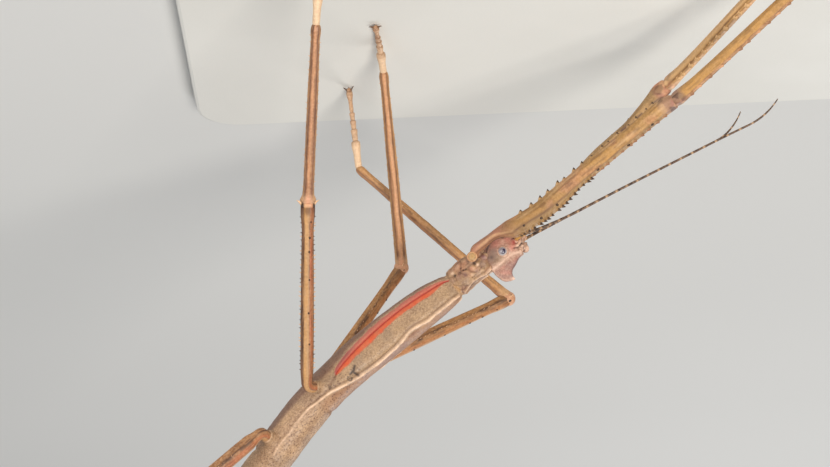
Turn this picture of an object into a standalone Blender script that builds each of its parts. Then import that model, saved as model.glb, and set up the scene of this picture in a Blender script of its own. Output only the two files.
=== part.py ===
"""Life-size stick insect, crested and spiny-legged, standing on a flat display base.

The insect's tables, lengths and radii are millimetres; the base, the gap, the sink and the neck's
place are metres. Headings are degrees about +Z from +X and climbs are degrees above the horizontal.
The insect faces -X, and its right side is toward +Y.
"""

import math

import bmesh
import bpy
import numpy as np
from mathutils import Vector

MM = 0.001
GAP = 0.0003
UP = Vector((0.0, 0.0, 1.0))
SINK = 0.0006

# Display base
BASE_SIZE = (0.160, 0.114, 0.004)
BASE_CENTRE = (-0.031, -0.006)
BASE_CORNER = 0.010
BASE_EDGE = 0.0008
GROUND = BASE_SIZE[2] + GAP

# Body line, from the neck to the tip of the abdomen: distance, heading and climb
NECK = Vector((-0.01295, 0.01677, 0.05123))
BODY_ROLL = 11.0
BODY_TURNS = (
    (0.0, 17.4, 38.2),
    (7.0, 17.4, 38.2),
    (12.0, 14.5, 33.1),
    (42.0, 14.5, 33.1),
    (50.0, 19.3, 43.7),
    (66.0, 20.5, 49.1),
    (100.0, 20.5, 49.1),
    (140.0, 21.3, 43.1),
)
PROTHORAX_LENGTH = 8.5
MESOTHORAX_LENGTH = 36.7
METATHORAX_LENGTH = 16.5
ABDOMEN_LENGTHS = (20.0, 20.0, 19.0, 18.0)
HEAD_HEADING, HEAD_CLIMB = -169.4, -24.9

# Body sections: distance along, top, bottom and half width
NECK_SECTION = (1.8, 2.3, 2.1)
HEAD_SECTIONS = (
    (1.4, 2.0, 2.9, 2.4),
    (3.0, 2.0, 3.4, 2.75),
    (4.6, 1.8, 3.5, 2.7),
    (6.2, 1.6, 3.2, 2.4),
    (7.6, 1.9, 2.5, 2.0),
    (8.5, 2.0, 1.7, 1.6),
    (8.9, 1.5, 1.0, 1.1),
)
PROTHORAX_SECTIONS = (
    (0.0, 1.9, 2.4, 2.3),
    (1.5, 1.9, 3.6, 2.7),
    (4.5, 1.6, 4.5, 2.9),
    (7.2, 1.6, 4.4, 2.8),
    (8.5, 1.5, 4.1, 2.7),
)
MESOTHORAX_SECTIONS = (
    (0.0, 1.5, 4.1, 2.8),
    (2.0, 2.0, 4.7, 3.1),
    (9.0, 2.4, 5.9, 3.6),
    (18.0, 2.6, 6.2, 4.0),
    (26.0, 2.7, 6.0, 4.2),
    (33.0, 3.1, 5.3, 4.4),
    (36.7, 3.5, 4.9, 4.3),
)
METATHORAX_SECTIONS = (
    (0.0, 3.5, 4.8, 4.3),
    (2.0, 3.9, 4.8, 4.5),
    (9.0, 4.0, 4.5, 4.4),
    (14.0, 4.2, 4.4, 4.5),
    (16.5, 4.0, 4.2, 4.3),
)
THORAX_RIDGE = 0.1
ABDOMEN_RADII = (4.1, 4.2, 4.0, 3.4, 2.1)
ABDOMEN_SEGMENTS_EACH = 2
SEGMENT_STEP = 0.25
TAIL_TIP = ((18.6, 1.7, 1.7, 1.9), (19.0, 1.1, 1.2, 1.3))
CERCUS = ((17.0, 0.6, 1.0), (20.6, 0.9, 1.7))
CERCUS_RADIUS = 0.55
EGG_PLATE = dict(along=13.0, drop=1.6, radius=1.5, stretch=3.2)

# Crest: its outline forward of the neck and above the head line, and its thickness
CREST_OUTLINE = (
    (0.4, 0.9),
    (0.25, 2.2),
    (0.15, 3.1),
    (0.35, 3.95),
    (0.75, 4.8),
    (1.4, 5.65),
    (2.4, 6.05),
    (3.4, 6.15),
    (3.3, 5.2),
    (3.45, 4.6),
    (3.95, 4.05),
    (5.9, 2.8),
    (7.5, 2.2),
    (7.0, 0.9),
)
CREST_THICKNESS = 4.0
CREST_TAPER = 0.82
LABRUM = dict(place=(8.35, 1.5, 0.0), radius=0.85)

EYE_PLACE = (3.9, 0.1, 2.4)
EYE_RADIUS = 0.95
SOCKET_FROM = (6.2, -0.7, 1.3)
SOCKET_TO = (7.7, -0.8, 2.35)
SOCKET_RADIUS = 0.62
ANTENNA_LENGTH = 61.5
ANTENNA_TURNS = {
    "left": (
        (0.0, -171.2, -14.4),
        (8.0, -171.2, -19.2),
        (14.0, -171.0, -23.8),
        (30.0, -171.0, -22.4),
        (44.0, -170.5, -22.4),
        (53.0, -168.0, -20.0),
        (61.5, -157.0, -52.0),
    ),
    "right": (
        (0.0, 166.4, -29.3),
        (44.0, 166.2, -28.0),
        (52.0, 166.5, -28.5),
        (56.0, 172.0, -47.0),
        (61.5, 183.0, -66.0),
    ),
}
ANTENNA_RADII = ((0.0, 0.42), (3.0, 0.36), (20.0, 0.31), (55.0, 0.26), (61.5, 0.16))
ANTENNA_POINTS = 24
PALPS = (((8.2, -0.9, 0.6), (9.3, -1.6, 0.7)), ((8.4, -0.2, 1.1), (9.9, -0.8, 1.3)))
PALP_RADIUS = 0.3

# Limbs: lengths, and the sections of each as share of length, half width, half height and rise
FEMUR_LENGTHS = {"front": 52.6, "middle": 42.5, "hind": 47.0}
TIBIA_LENGTHS = {"front": 48.0, "middle": 43.9, "hind": 44.0}
REGROWN = {"middle_left": (0.96, 0.912)}
TARSUS_LENGTHS = {"front": 17.5, "middle": 17.5, "hind": 16.0}
FEMUR_SECTIONS = {
    "front_left": (
        (0.0, 0.9, 0.9, 0.0),
        (0.08, 0.9, 0.85, 0.0),
        (0.115, 0.95, 1.1, 0.1),
        (0.145, 1.05, 1.7, 0.7),
        (0.18, 1.15, 2.35, 1.35),
        (0.26, 1.3, 2.3, 1.9),
        (0.33, 1.45, 2.25, 2.1),
        (0.41, 1.5, 2.25, 1.75),
        (0.5, 1.5, 1.85, 1.2),
        (0.68, 1.45, 1.75, 0.6),
        (0.84, 1.35, 1.75, 0.1),
        (0.96, 1.5, 1.85, -0.3),
        (1.0, 1.35, 1.6, -0.1),
    ),
    "front_right": (
        (0.0, 0.9, 0.9, 0.0),
        (0.08, 0.9, 0.85, 0.1),
        (0.12, 0.95, 1.1, 0.4),
        (0.16, 1.1, 1.5, 1.3),
        (0.2, 1.2, 1.75, 2.1),
        (0.3, 1.4, 1.6, 2.5),
        (0.4, 1.5, 1.35, 2.5),
        (0.48, 1.5, 1.1, 2.3),
        (0.63, 1.4, 1.25, 1.65),
        (0.77, 1.35, 1.15, 1.5),
        (0.86, 1.35, 1.4, 1.0),
        (0.96, 1.5, 1.8, 0.1),
        (1.0, 1.35, 1.6, 0.0),
    ),
    "middle": (
        (0.02, 1.15, 1.15, 0.0),
        (0.08, 1.3, 1.5, 0.0),
        (0.3, 1.35, 1.6, 0.0),
        (0.65, 1.28, 1.45, 0.0),
        (0.86, 1.2, 1.35, 0.0),
        (0.96, 1.45, 1.5, 0.0),
    ),
    "hind": (
        (0.02, 1.2, 1.2, 0.0),
        (0.08, 1.5, 1.65, 0.0),
        (0.3, 1.5, 1.7, 0.0),
        (0.65, 1.4, 1.5, 0.0),
        (0.87, 1.3, 1.35, 0.0),
        (0.96, 1.5, 1.5, 0.0),
    ),
}
TIBIA_SECTIONS = {
    "front": (
        (0.05, 1.25, 1.6, 0.1),
        (0.12, 1.1, 1.35, 0.3),
        (0.3, 1.05, 1.3, 0.42),
        (0.6, 1.05, 1.3, 0.42),
        (0.9, 0.95, 1.1, 0.1),
        (0.96, 0.9, 1.05, 0.0),
    ),
    "middle": (
        (0.05, 1.3, 1.35, 0.0),
        (0.12, 1.1, 1.15, 0.0),
        (0.6, 1.05, 1.1, 0.0),
        (0.96, 0.9, 0.95, 0.0),
    ),
    "hind": (
        (0.05, 1.35, 1.4, 0.0),
        (0.14, 1.25, 1.3, 0.0),
        (0.6, 1.1, 1.15, 0.0),
        (0.96, 0.9, 0.95, 0.0),
    ),
}
TARSUS_SECTIONS = (
    (0.0, 0.75, 0.75),
    (0.06, 0.8, 0.75),
    (0.28, 0.98, 0.88),
    (0.36, 0.55, 0.52),
    (0.44, 0.68, 0.6),
    (0.51, 0.45, 0.45),
    (0.57, 0.6, 0.55),
    (0.62, 0.42, 0.42),
    (0.68, 0.56, 0.52),
    (0.72, 0.4, 0.4),
    (0.92, 0.7, 0.62),
    (1.0, 0.5, 0.45),
)
TARSUS_JOINTS = (0.36, 0.51, 0.62, 0.72, 1.0)
PAD_RADIUS = 0.5
CLAW_LENGTH = 1.7
CLAW_RADIUS = 0.32

# Rows of teeth: angle round the section, share of the limb from and to, count, height, radius and lean
KNEE_SPURS = ((0, 0.945, 0.945, 1, 0.9, 0.4, 0.7), (180, 0.945, 0.945, 1, 0.9, 0.4, 0.7))
TEETH = {
    "front_femur": (
        (80, 0.2, 0.93, 15, 1.1, 0.42, 0.9),
        (270, 0.26, 0.93, 13, 0.8, 0.45, 0.5),
        (0, 0.3, 0.9, 6, 0.5, 0.32, 0.5),
    ),
    "front_tibia": ((90, 0.08, 0.9, 9, 0.7, 0.36, 0.7), (200, 0.12, 0.84, 7, 0.45, 0.3, 0.5)),
    "middle_femur": ((0, 0.17, 0.88, 10, 0.5, 0.32, 0.5), (180, 0.2, 0.91, 10, 0.5, 0.32, 0.5), *KNEE_SPURS),
    "middle_tibia": ((0, 0.1, 0.92, 10, 0.45, 0.3, 0.5), (180, 0.14, 0.88, 10, 0.45, 0.3, 0.5)),
    "hind_femur": ((0, 0.17, 0.88, 9, 0.5, 0.32, 0.5), (180, 0.2, 0.91, 9, 0.5, 0.32, 0.5), *KNEE_SPURS),
    "hind_tibia": ((0, 0.1, 0.92, 9, 0.45, 0.3, 0.5), (180, 0.14, 0.88, 9, 0.45, 0.3, 0.5)),
}

# Each leg: place of its hip, headings and climbs of its limbs, and how its foot curls down
COXA_LENGTHS = {"front": 5.0, "middle": 6.4, "hind": 6.6}
COXA_RADII = {"front": (1.5, 1.2), "middle": (2.4, 1.3), "hind": (2.6, 1.4)}
HIP_LENGTHS = {"front": 1.4, "middle": 2.0, "hind": 2.0}
BEND_RADIUS = 1.5
HIP_BEND_RADIUS = 1.5
FLAT_FOOT = (1.0, 0.7, 0.5, 0.3, 0.1)
STEEP_FOOT = (1.0, 1.0, 1.0, 0.95, 0.8)
HANGING_FOOT = (1.0, 1.0, 1.0, 1.0, 1.0)
TRAILING_FOOT = (0.62, 0.6, 0.55, 0.45, 0.35)
LEGS = {
    "front_left": dict(
        at=4.8, drop=44, lean=48,
        femur=(-148.9, -23.9), tibia=(-141.3, -26.8),
        foot=-142.0, curl=FLAT_FOOT,
    ),
    "front_right": dict(
        at=3.4, drop=50, lean=37,
        femur=(-157.5, -33.1), tibia=(-119.9, -14.2),
        foot=-121.0, curl=FLAT_FOOT,
    ),
    "middle_left": dict(
        at=41.5, drop=20, lean=-30,
        femur=(-94.8, -49.3), tibia=(-96.6, -39.4),
        foot=-104.0, curl=STEEP_FOOT,
    ),
    "middle_right": dict(
        at=41.5, drop=20, lean=9,
        femur=(170.0, -25.4), tibia=(-7.3, -43.7),
        foot=-71.8, curl=HANGING_FOOT,
    ),
    "hind_left": dict(
        at=58.5, drop=20, lean=2,
        femur=(-6.0, 40.0), tibia=(4.0, -42.0),
        foot=4.0, curl=TRAILING_FOOT,
    ),
    "hind_right": dict(
        at=58.5, drop=20, lean=6,
        femur=(176.4, -54.3), tibia=(-85.1, -53.5),
        foot=-85.0, curl=FLAT_FOOT,
    ),
}

# Colour, roughness and metallic value of each material
LOOKS = {
    "body": ((0.55, 0.38, 0.25), 0.6, 0.0),
    "head": ((0.58, 0.38, 0.29), 0.55, 0.0),
    "eye": ((0.45, 0.42, 0.48), 0.2, 0.0),
    "antenna": ((0.16, 0.08, 0.05), 0.5, 0.0),
    "leg": ((0.62, 0.42, 0.22), 0.55, 0.0),
    "foot": ((0.75, 0.55, 0.38), 0.55, 0.0),
    "base": ((0.82, 0.81, 0.78), 0.6, 0.0),
}


def direction(heading, climb):
    """Unit vector with this heading and climb."""
    h, c = math.radians(heading), math.radians(climb)
    return Vector((math.cos(h) * math.cos(c), math.sin(h) * math.cos(c), math.sin(c)))


def turned(turns, along):
    """Direction of a bent line at this distance, from its table of turns."""
    distances, headings, climbs = zip(*turns)
    return direction(np.interp(along, distances, headings), np.interp(along, distances, climbs))


def bent_line(start, turns, along, step=0.5):
    """Point of a bent line at this distance in millimetres."""
    count = max(1, math.ceil(along / step))
    length = along / count
    point = start.copy()
    for k in range(count):
        point += turned(turns, (k + 0.5) * length) * length * MM
    return point


def sides_of(forward):
    """Right side and top side of a body part that points forward, with the body's roll."""
    level = (UP - forward * UP.dot(forward)).normalized()
    right = forward.cross(level)
    roll = math.radians(BODY_ROLL)
    return (
        right * math.cos(roll) - level * math.sin(roll),
        level * math.cos(roll) + right * math.sin(roll),
    )


def body_frame(along):
    """Point, forward direction, right side and top side of the body line."""
    forward = -turned(BODY_TURNS, along)
    return (bent_line(NECK, BODY_TURNS, along), forward, *sides_of(forward))


HEAD_FORWARD = direction(HEAD_HEADING, HEAD_CLIMB)
HEAD_RIGHT, HEAD_TOP = sides_of(HEAD_FORWARD)


def head_point(forward, up, right):
    """Point of the head from millimetres forward of the neck, up and to the right."""
    return NECK + (HEAD_FORWARD * forward + HEAD_TOP * up + HEAD_RIGHT * right) * MM


def look(name):
    """Material with the named colour, roughness and metallic value."""
    found = bpy.data.materials.get(name)
    if found:
        return found
    colour, roughness, metallic = LOOKS[name]
    material = bpy.data.materials.new(name)
    material.use_nodes = True
    shader = material.node_tree.nodes["Principled BSDF"]
    shader.inputs["Base Color"].default_value = (*colour, 1.0)
    shader.inputs["Roughness"].default_value = roughness
    shader.inputs["Metallic"].default_value = metallic
    return material


def mesh_object(name, mesh, material=None):
    """New object of this mesh, in the insect's collection when it has a material."""
    obj = bpy.data.objects.new(name, mesh)
    if material:
        mesh.materials.append(look(material))
        bpy.data.collections["stick_insect"].objects.link(obj)
    return obj


def finished(bm, name):
    """Mesh of this bmesh, faces out and shaded smooth except at sharp edges."""
    bmesh.ops.recalc_face_normals(bm, faces=bm.faces)
    mesh = bpy.data.meshes.new(name)
    bm.to_mesh(mesh)
    bm.free()
    mesh.shade_smooth()
    mesh.set_sharp_from_angle(angle=math.radians(40))
    return mesh


def section(centre, across, up, half_width, top, bottom, count=10, ridge=0.0):
    """Ring of points round a section, sizes in millimetres, with a ridge along each side and the top."""
    ring = []
    ridged = (0, count // 4, count // 2 - 1)
    for k in range(count):
        angle = 2 * math.pi * (k + 0.5) / count
        rise = math.sin(angle)
        out = 1 + ridge if k in ridged else 1.0
        height = (top if rise > 0 else bottom) * rise * out
        ring.append(centre + (across * half_width * math.cos(angle) * out + up * height) * MM)
    return ring


def loft(name, rings):
    """Closed mesh through rings of equal count."""
    bm = bmesh.new()
    loops = [[bm.verts.new(point) for point in ring] for ring in rings]
    count = len(rings[0])
    for near, far in zip(loops, loops[1:]):
        for k in range(count):
            after = (k + 1) % count
            bm.faces.new((near[k], near[after], far[after], far[k]))
    bm.faces.new(loops[0])
    bm.faces.new(loops[-1])
    return finished(bm, name)


def spike(name, root, tip, root_radius, tip_radius=0.0, sides=5):
    """Cone or tapered rod from root to tip, sizes in metres."""
    bm = bmesh.new()
    axis = tip - root
    bmesh.ops.create_cone(
        bm,
        cap_ends=True,
        segments=sides,
        radius1=root_radius,
        radius2=tip_radius,
        depth=axis.length,
    )
    turn = UP.rotation_difference(axis.normalized()).to_matrix()
    for vert in bm.verts:
        vert.co = (root + tip) / 2 + turn @ vert.co
    return mesh_object(name, finished(bm, name))


def ball(name, centre, radius, rows=6, stretch=None):
    """Sphere, or an ellipsoid stretched along a direction by a factor."""
    bm = bmesh.new()
    bmesh.ops.create_uvsphere(bm, u_segments=2 * rows, v_segments=rows, radius=radius)
    for vert in bm.verts:
        if stretch:
            axis, factor = stretch
            vert.co += axis * vert.co.dot(axis) * (factor - 1)
        vert.co += centre
    return mesh_object(name, finished(bm, name))


def keep_largest(mesh):
    """Drops every closed surface of the mesh but the largest."""
    bm = bmesh.new()
    bm.from_mesh(mesh)
    left = set(bm.faces)
    shells = []
    while left:
        stack = [left.pop()]
        shell = list(stack)
        while stack:
            for edge in stack.pop().edges:
                for face in edge.link_faces:
                    if face in left:
                        left.remove(face)
                        shell.append(face)
                        stack.append(face)
        shells.append(shell)
    shells.sort(key=lambda shell: sum(face.calc_area() for face in shell))
    for shell in shells[:-1]:
        bmesh.ops.delete(bm, geom=shell, context="FACES")
    loose = [vert for vert in bm.verts if not vert.link_faces]
    bmesh.ops.delete(bm, geom=loose, context="VERTS")
    bm.to_mesh(mesh)
    bm.free()


def combine(body, pieces, operation):
    """Joins the pieces to the body or cuts them from it, and removes them."""
    group = bpy.data.collections.new(body.name + "_pieces")
    for piece in pieces:
        group.objects.link(piece)
    modifier = body.modifiers.new("Combine", "BOOLEAN")
    modifier.operation = operation
    modifier.operand_type = "COLLECTION"
    modifier.collection = group
    modifier.solver = "EXACT"
    graph = bpy.context.evaluated_depsgraph_get()
    body.data = bpy.data.meshes.new_from_object(body.evaluated_get(graph))
    body.modifiers.clear()
    for piece in pieces:
        bpy.data.objects.remove(piece)
    bpy.data.collections.remove(group)
    keep_largest(body.data)


def level_foot(mesh, height):
    """Cuts the mesh flat at this height."""
    bm = bmesh.new()
    bm.from_mesh(mesh)
    cut = bmesh.ops.bisect_plane(
        bm,
        geom=[*bm.verts, *bm.edges, *bm.faces],
        plane_co=UP * height,
        plane_no=UP,
        clear_inner=True,
    )
    rim = [item for item in cut["geom_cut"] if isinstance(item, bmesh.types.BMEdge)]
    bmesh.ops.holes_fill(bm, edges=rim)
    bmesh.ops.recalc_face_normals(bm, faces=bm.faces)
    bm.to_mesh(mesh)
    bm.free()


def body_loft(name, start, table, ridge=0.0, count=14):
    """Length of the body from a table of sections, with half a gap left at each end."""
    first, last = table[0][0], table[-1][0]
    rings = []
    for along, top, bottom, half_width in table:
        inset = GAP / MM / 2
        place = min(max(along, first + inset), last - inset)
        centre, _, right, up = body_frame(start + place)
        rings.append(section(centre, right, up, half_width, top, bottom, count, ridge))
    return mesh_object(name, loft(name, rings), "body")


def hip_line(leg, place):
    """Where a leg's coxa starts in the body, and the way it points."""
    side = place.split("_")[1]
    start, forward, right, up = body_frame(leg["at"])
    drop, lean = math.radians(leg["drop"]), math.radians(leg["lean"])
    outward = right if side == "right" else -right
    square = outward * math.cos(drop) - up * math.sin(drop)
    return start, square * math.cos(lean) + forward * math.sin(lean)


def coxa(place):
    """Boss on the body that carries a leg."""
    pair = place.split("_")[0]
    start, way = hip_line(LEGS[place], place)
    root, tip = COXA_RADII[pair]
    end = start + way * COXA_LENGTHS[pair] * MM
    return spike("coxa_" + place, start, end, root * MM, tip * MM, sides=10)


def corners_of(place):
    """Hip, knee and ankle of a leg, with the end of its coxa first."""
    pair = place.split("_")[0]
    leg = LEGS[place]
    start, way = hip_line(leg, place)
    root = start + way * COXA_LENGTHS[pair] * MM
    hip = root + way * HIP_LENGTHS[pair] * MM
    femur_share, tibia_share = REGROWN.get(place, (1.0, 1.0))
    knee = hip + direction(*leg["femur"]) * FEMUR_LENGTHS[pair] * femur_share * MM
    ankle = knee + direction(*leg["tibia"]) * TIBIA_LENGTHS[pair] * tibia_share * MM
    return root, hip, knee, ankle


def foot_climb(place, ankle):
    """First climb of a foot whose segments level out as it reaches the ground."""
    pair = place.split("_")[0]
    leg = LEGS[place]
    shares = np.diff((0.0, *TARSUS_JOINTS))
    drop = (ankle.z - GROUND) / MM - PAD_RADIUS
    low, high = 0.0, 90.0
    for _ in range(40):
        middle = (low + high) / 2
        fall = sum(
            share * math.sin(math.radians(middle * curl)) for share, curl in zip(shares, leg["curl"])
        )
        if fall * TARSUS_LENGTHS[pair] < drop:
            low = middle
        else:
            high = middle
    return -(low + high) / 2


def foot_points(place, ankle):
    """Joints of a foot from the ankle to the tip."""
    pair = place.split("_")[0]
    leg = LEGS[place]
    climb = foot_climb(place, ankle)
    points = [ankle]
    for share, curl in zip(np.diff((0.0, *TARSUS_JOINTS)), leg["curl"]):
        step = direction(leg["foot"], climb * curl) * share * TARSUS_LENGTHS[pair] * MM
        points.append(points[-1] + step)
    return points


def bend(corner, before, after, shares, radius=BEND_RADIUS):
    """Points and directions round a corner, at shares of its turn."""
    turn = before.angle(after)
    inward = (after - before * before.dot(after)).normalized()
    start = corner - before * radius * MM * math.tan(turn / 2)
    places = []
    for share in shares:
        angle = turn * share
        point = start + (before * math.sin(angle) + inward * (1 - math.cos(angle))) * radius * MM
        places.append((point, before * math.cos(angle) + inward * math.sin(angle)))
    return places


WIDE_TURN = math.radians(40)


def half_bend(corner, before, after, leaving):
    """Stations of the half of a bend that belongs to the limb before it, or to the one leaving it."""
    middle, way = bend(corner, before, after, (0.5,))[0]
    cut = middle + way * (GAP / 2 if leaving else -GAP / 2)
    if before.angle(after) < WIDE_TURN:
        return [(cut, way)]
    if leaving:
        return [(cut, way), *bend(corner, before, after, (0.78, 1.0))]
    return [*bend(corner, before, after, (0.0, 0.22)), (cut, way)]


def sizes_at(table, share):
    """Sizes of a limb at a share of its length."""
    shares, *columns = zip(*table)
    return [float(np.interp(share, shares, column)) for column in columns]


def limb_rings(start, end, opening, closing, table, count=8):
    """Rings of a limb: its opening stations, the straight between, and its closing stations."""
    straight = (end - start).normalized()
    length = (end - start).length
    level = UP.cross(straight).normalized()
    clear = 0.0005
    first = (opening[-1][0] - start).dot(straight) + clear
    last = (closing[0][0] - start).dot(straight) - clear
    between = [
        (start + straight * length * share, straight)
        for share, *_ in table
        if first < share * length < last
    ]
    rings = []
    for point, way in [*opening, *between, *closing]:
        half_width, half_height, rise = sizes_at(table, (point - start).dot(straight) / length)
        across = straight.rotation_difference(way) @ level
        up = way.cross(across)
        rings.append(section(point + up * rise * MM, across, up, half_width, half_height, half_height, count))
    return rings


def teeth(name, start, end, table, rows):
    """Cones in rows along a limb, their roots sunk in it, leaning toward its far end."""
    straight = (end - start).normalized()
    length = (end - start).length
    level = UP.cross(straight).normalized()
    up = straight.cross(level)
    cones = []
    for angle, first, last, count, height, radius, lean in rows:
        across, above = math.cos(math.radians(angle)), math.sin(math.radians(angle))
        for share in np.linspace(first, last, count):
            half_width, half_height, rise = sizes_at(table, share)
            out = level * across * half_width + up * above * half_height
            surface = start + straight * length * float(share) + (out + up * rise) * MM
            way = (out.normalized() + straight * lean).normalized()
            tip = surface + way * height * MM
            cones.append(spike(name + "_tooth", surface - way * SINK, tip, radius * MM))
    return cones


def make_head():
    neck, neck_way, neck_right, neck_top = body_frame(0.0)
    top, bottom, half_width = NECK_SECTION
    neck_face = neck + neck_way * GAP / 2
    rings = [section(neck_face, neck_right, neck_top, half_width, top, bottom, 16)]
    for forward, top, bottom, half_width in HEAD_SECTIONS:
        centre = head_point(forward, 0, 0)
        rings.append(section(centre, HEAD_RIGHT, HEAD_TOP, half_width, top, bottom, 16))
    head = mesh_object("head", loft("head", rings), "head")
    pieces = [make_crest(), ball("labrum", head_point(*LABRUM["place"]), LABRUM["radius"] * MM)]
    for side in (-1, 1):
        pieces.append(
            spike(
                "socket",
                head_point(*SOCKET_FROM[:2], side * SOCKET_FROM[2]),
                head_point(*SOCKET_TO[:2], side * SOCKET_TO[2]),
                SOCKET_RADIUS * 1.3 * MM,
                SOCKET_RADIUS * MM,
                sides=8,
            )
        )
        for (f0, u0, r0), (f1, u1, r1) in PALPS:
            root, tip = head_point(f0, u0, side * r0), head_point(f1, u1, side * r1)
            pieces.append(spike("palp", root, tip, PALP_RADIUS * MM, PALP_RADIUS * 0.7 * MM, sides=6))
    combine(head, pieces, "UNION")
    sockets = [
        ball("eye_socket", head_point(*EYE_PLACE[:2], side * EYE_PLACE[2]), EYE_RADIUS * MM + GAP)
        for side in (-1, 1)
    ]
    combine(head, sockets, "DIFFERENCE")
    for name, side in (("eye_left", -1), ("eye_right", 1)):
        centre = head_point(*EYE_PLACE[:2], side * EYE_PLACE[2])
        eye = ball(name, centre, EYE_RADIUS * MM)
        eye.data.materials.append(look("eye"))
        bpy.data.collections["stick_insect"].objects.link(eye)


def make_crest():
    """Blade over the head, thinner toward its edge."""
    curve = bpy.data.curves.new("crest", "CURVE")
    curve.dimensions = "2D"
    curve.fill_mode = "BOTH"
    curve.extrude = CREST_THICKNESS / 2 * MM
    spline = curve.splines.new("POLY")
    spline.points.add(len(CREST_OUTLINE) - 1)
    for point, (forward, up) in zip(spline.points, CREST_OUTLINE):
        point.co = (forward * MM, up * MM, 0.0, 1.0)
    spline.use_cyclic_u = True
    flat = bpy.data.objects.new("crest", curve)
    bpy.data.collections["stick_insect"].objects.link(flat)
    graph = bpy.context.evaluated_depsgraph_get()
    mesh = bpy.data.meshes.new_from_object(flat.evaluated_get(graph))
    bpy.data.objects.remove(flat)
    bm = bmesh.new()
    bm.from_mesh(mesh)
    bmesh.ops.remove_doubles(bm, verts=bm.verts, dist=0.00001)
    highest = max(up for _, up in CREST_OUTLINE) * MM
    for vert in bm.verts:
        forward, up, side = vert.co
        side *= 1 - CREST_TAPER * max(0.0, up / highest)
        vert.co = head_point(forward / MM, up / MM, side / MM)
    return mesh_object("crest", finished(bm, "crest"))


def make_antenna(name, side, turns):
    start = head_point(*SOCKET_TO[:2], side * SOCKET_TO[2])
    way = (start - head_point(*SOCKET_FROM[:2], side * SOCKET_FROM[2])).normalized()
    root = start + way * GAP
    elbow = root + way * 1.0 * MM
    curve = bpy.data.curves.new(name, "CURVE")
    curve.dimensions = "3D"
    curve.bevel_depth = MM
    curve.bevel_resolution = 1
    curve.use_fill_caps = True
    spline = curve.splines.new("POLY")
    spline.points.add(ANTENNA_POINTS)
    distances, radii = zip(*ANTENNA_RADII)
    for k, point in enumerate(spline.points):
        along = ANTENNA_LENGTH * max(0, k - 1) / (ANTENNA_POINTS - 1)
        place = root if k == 0 else bent_line(elbow, turns, along)
        point.co = (*place, 1.0)
        point.radius = float(np.interp(along, distances, radii))
    curve.materials.append(look("antenna"))
    bpy.data.collections["stick_insect"].objects.link(bpy.data.objects.new(name, curve))


def make_thorax():
    prothorax = body_loft("prothorax", 0.0, PROTHORAX_SECTIONS, THORAX_RIDGE)
    mesothorax = body_loft("mesothorax", PROTHORAX_LENGTH, MESOTHORAX_SECTIONS, THORAX_RIDGE)
    start = PROTHORAX_LENGTH + MESOTHORAX_LENGTH
    metathorax = body_loft("metathorax", start, METATHORAX_SECTIONS, THORAX_RIDGE)
    for body, pair in ((prothorax, "front"), (mesothorax, "middle"), (metathorax, "hind")):
        combine(body, [coxa(pair + "_left"), coxa(pair + "_right")], "UNION")


def make_abdomen():
    """Four lengths, each of two segments that swell a little toward their rear rims."""
    start = PROTHORAX_LENGTH + MESOTHORAX_LENGTH + METATHORAX_LENGTH
    for k, length in enumerate(ABDOMEN_LENGTHS):
        front, rear = ABDOMEN_RADII[k], ABDOMEN_RADII[k + 1]
        table = []
        for segment in range(ABDOMEN_SEGMENTS_EACH):
            for share, step in ((0.0, -1), (0.12, 0), (0.85, 0), (0.99, 1)):
                whole = (segment + share) / ABDOMEN_SEGMENTS_EACH
                radius = front + (rear - front) * whole + step * SEGMENT_STEP
                table.append((whole * length, radius, radius, radius * 1.04))
        table[-1] = (length, *table[-1][1:])
        if k + 1 == len(ABDOMEN_LENGTHS):
            table += TAIL_TIP
        abdomen = body_loft(f"abdomen_{k + 1}", start, table)
        if k + 1 == len(ABDOMEN_LENGTHS):
            combine(abdomen, [egg_plate(start), *(cercus(start, side) for side in (-1, 1))], "UNION")
        start += length


def egg_plate(start):
    """Boat-shaped plate under the last segments."""
    centre, forward, _, top = body_frame(start + EGG_PLATE["along"])
    stretch = (forward, EGG_PLATE["stretch"])
    return ball("egg_plate", centre - top * EGG_PLATE["drop"] * MM, EGG_PLATE["radius"] * MM, stretch=stretch)


def cercus(start, side):
    """One of the two short feelers at the end of the abdomen."""
    ends = []
    for along, up, out in CERCUS:
        centre, _, right, top = body_frame(start + along)
        ends.append(centre + (top * up + right * side * out) * MM)
    return spike("cercus", *ends, CERCUS_RADIUS * MM, CERCUS_RADIUS * 0.5 * MM, sides=6)


def make_leg(place):
    pair, side = place.split("_")
    root, hip, knee, ankle = corners_of(place)
    coxa_way = (hip - root).normalized()
    femur_way = (knee - hip).normalized()
    tibia_way = (ankle - knee).normalized()
    feet = foot_points(place, ankle)
    foot_way = (feet[1] - feet[0]).normalized()

    hip_bend = bend(hip, coxa_way, femur_way, (0.0, 0.5, 1.0), HIP_BEND_RADIUS)
    opening = [(root + coxa_way * GAP, coxa_way), *hip_bend]
    closing = half_bend(knee, femur_way, tibia_way, leaving=False)
    table = FEMUR_SECTIONS[place if pair == "front" else pair]
    name = f"femur_{place}"
    femur = mesh_object(name, loft(name, limb_rings(hip, knee, opening, closing, table)), "leg")
    combine(femur, teeth(name, hip, knee, table, TEETH[pair + "_femur"]), "UNION")

    opening = half_bend(knee, femur_way, tibia_way, leaving=True)
    closing = half_bend(ankle, tibia_way, foot_way, leaving=False)
    table = TIBIA_SECTIONS[pair]
    name = f"tibia_{place}"
    tibia = mesh_object(name, loft(name, limb_rings(knee, ankle, opening, closing, table)), "leg")
    combine(tibia, teeth(name, knee, ankle, table, TEETH[pair + "_tibia"]), "UNION")

    make_foot(place, feet, tibia_way)


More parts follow.
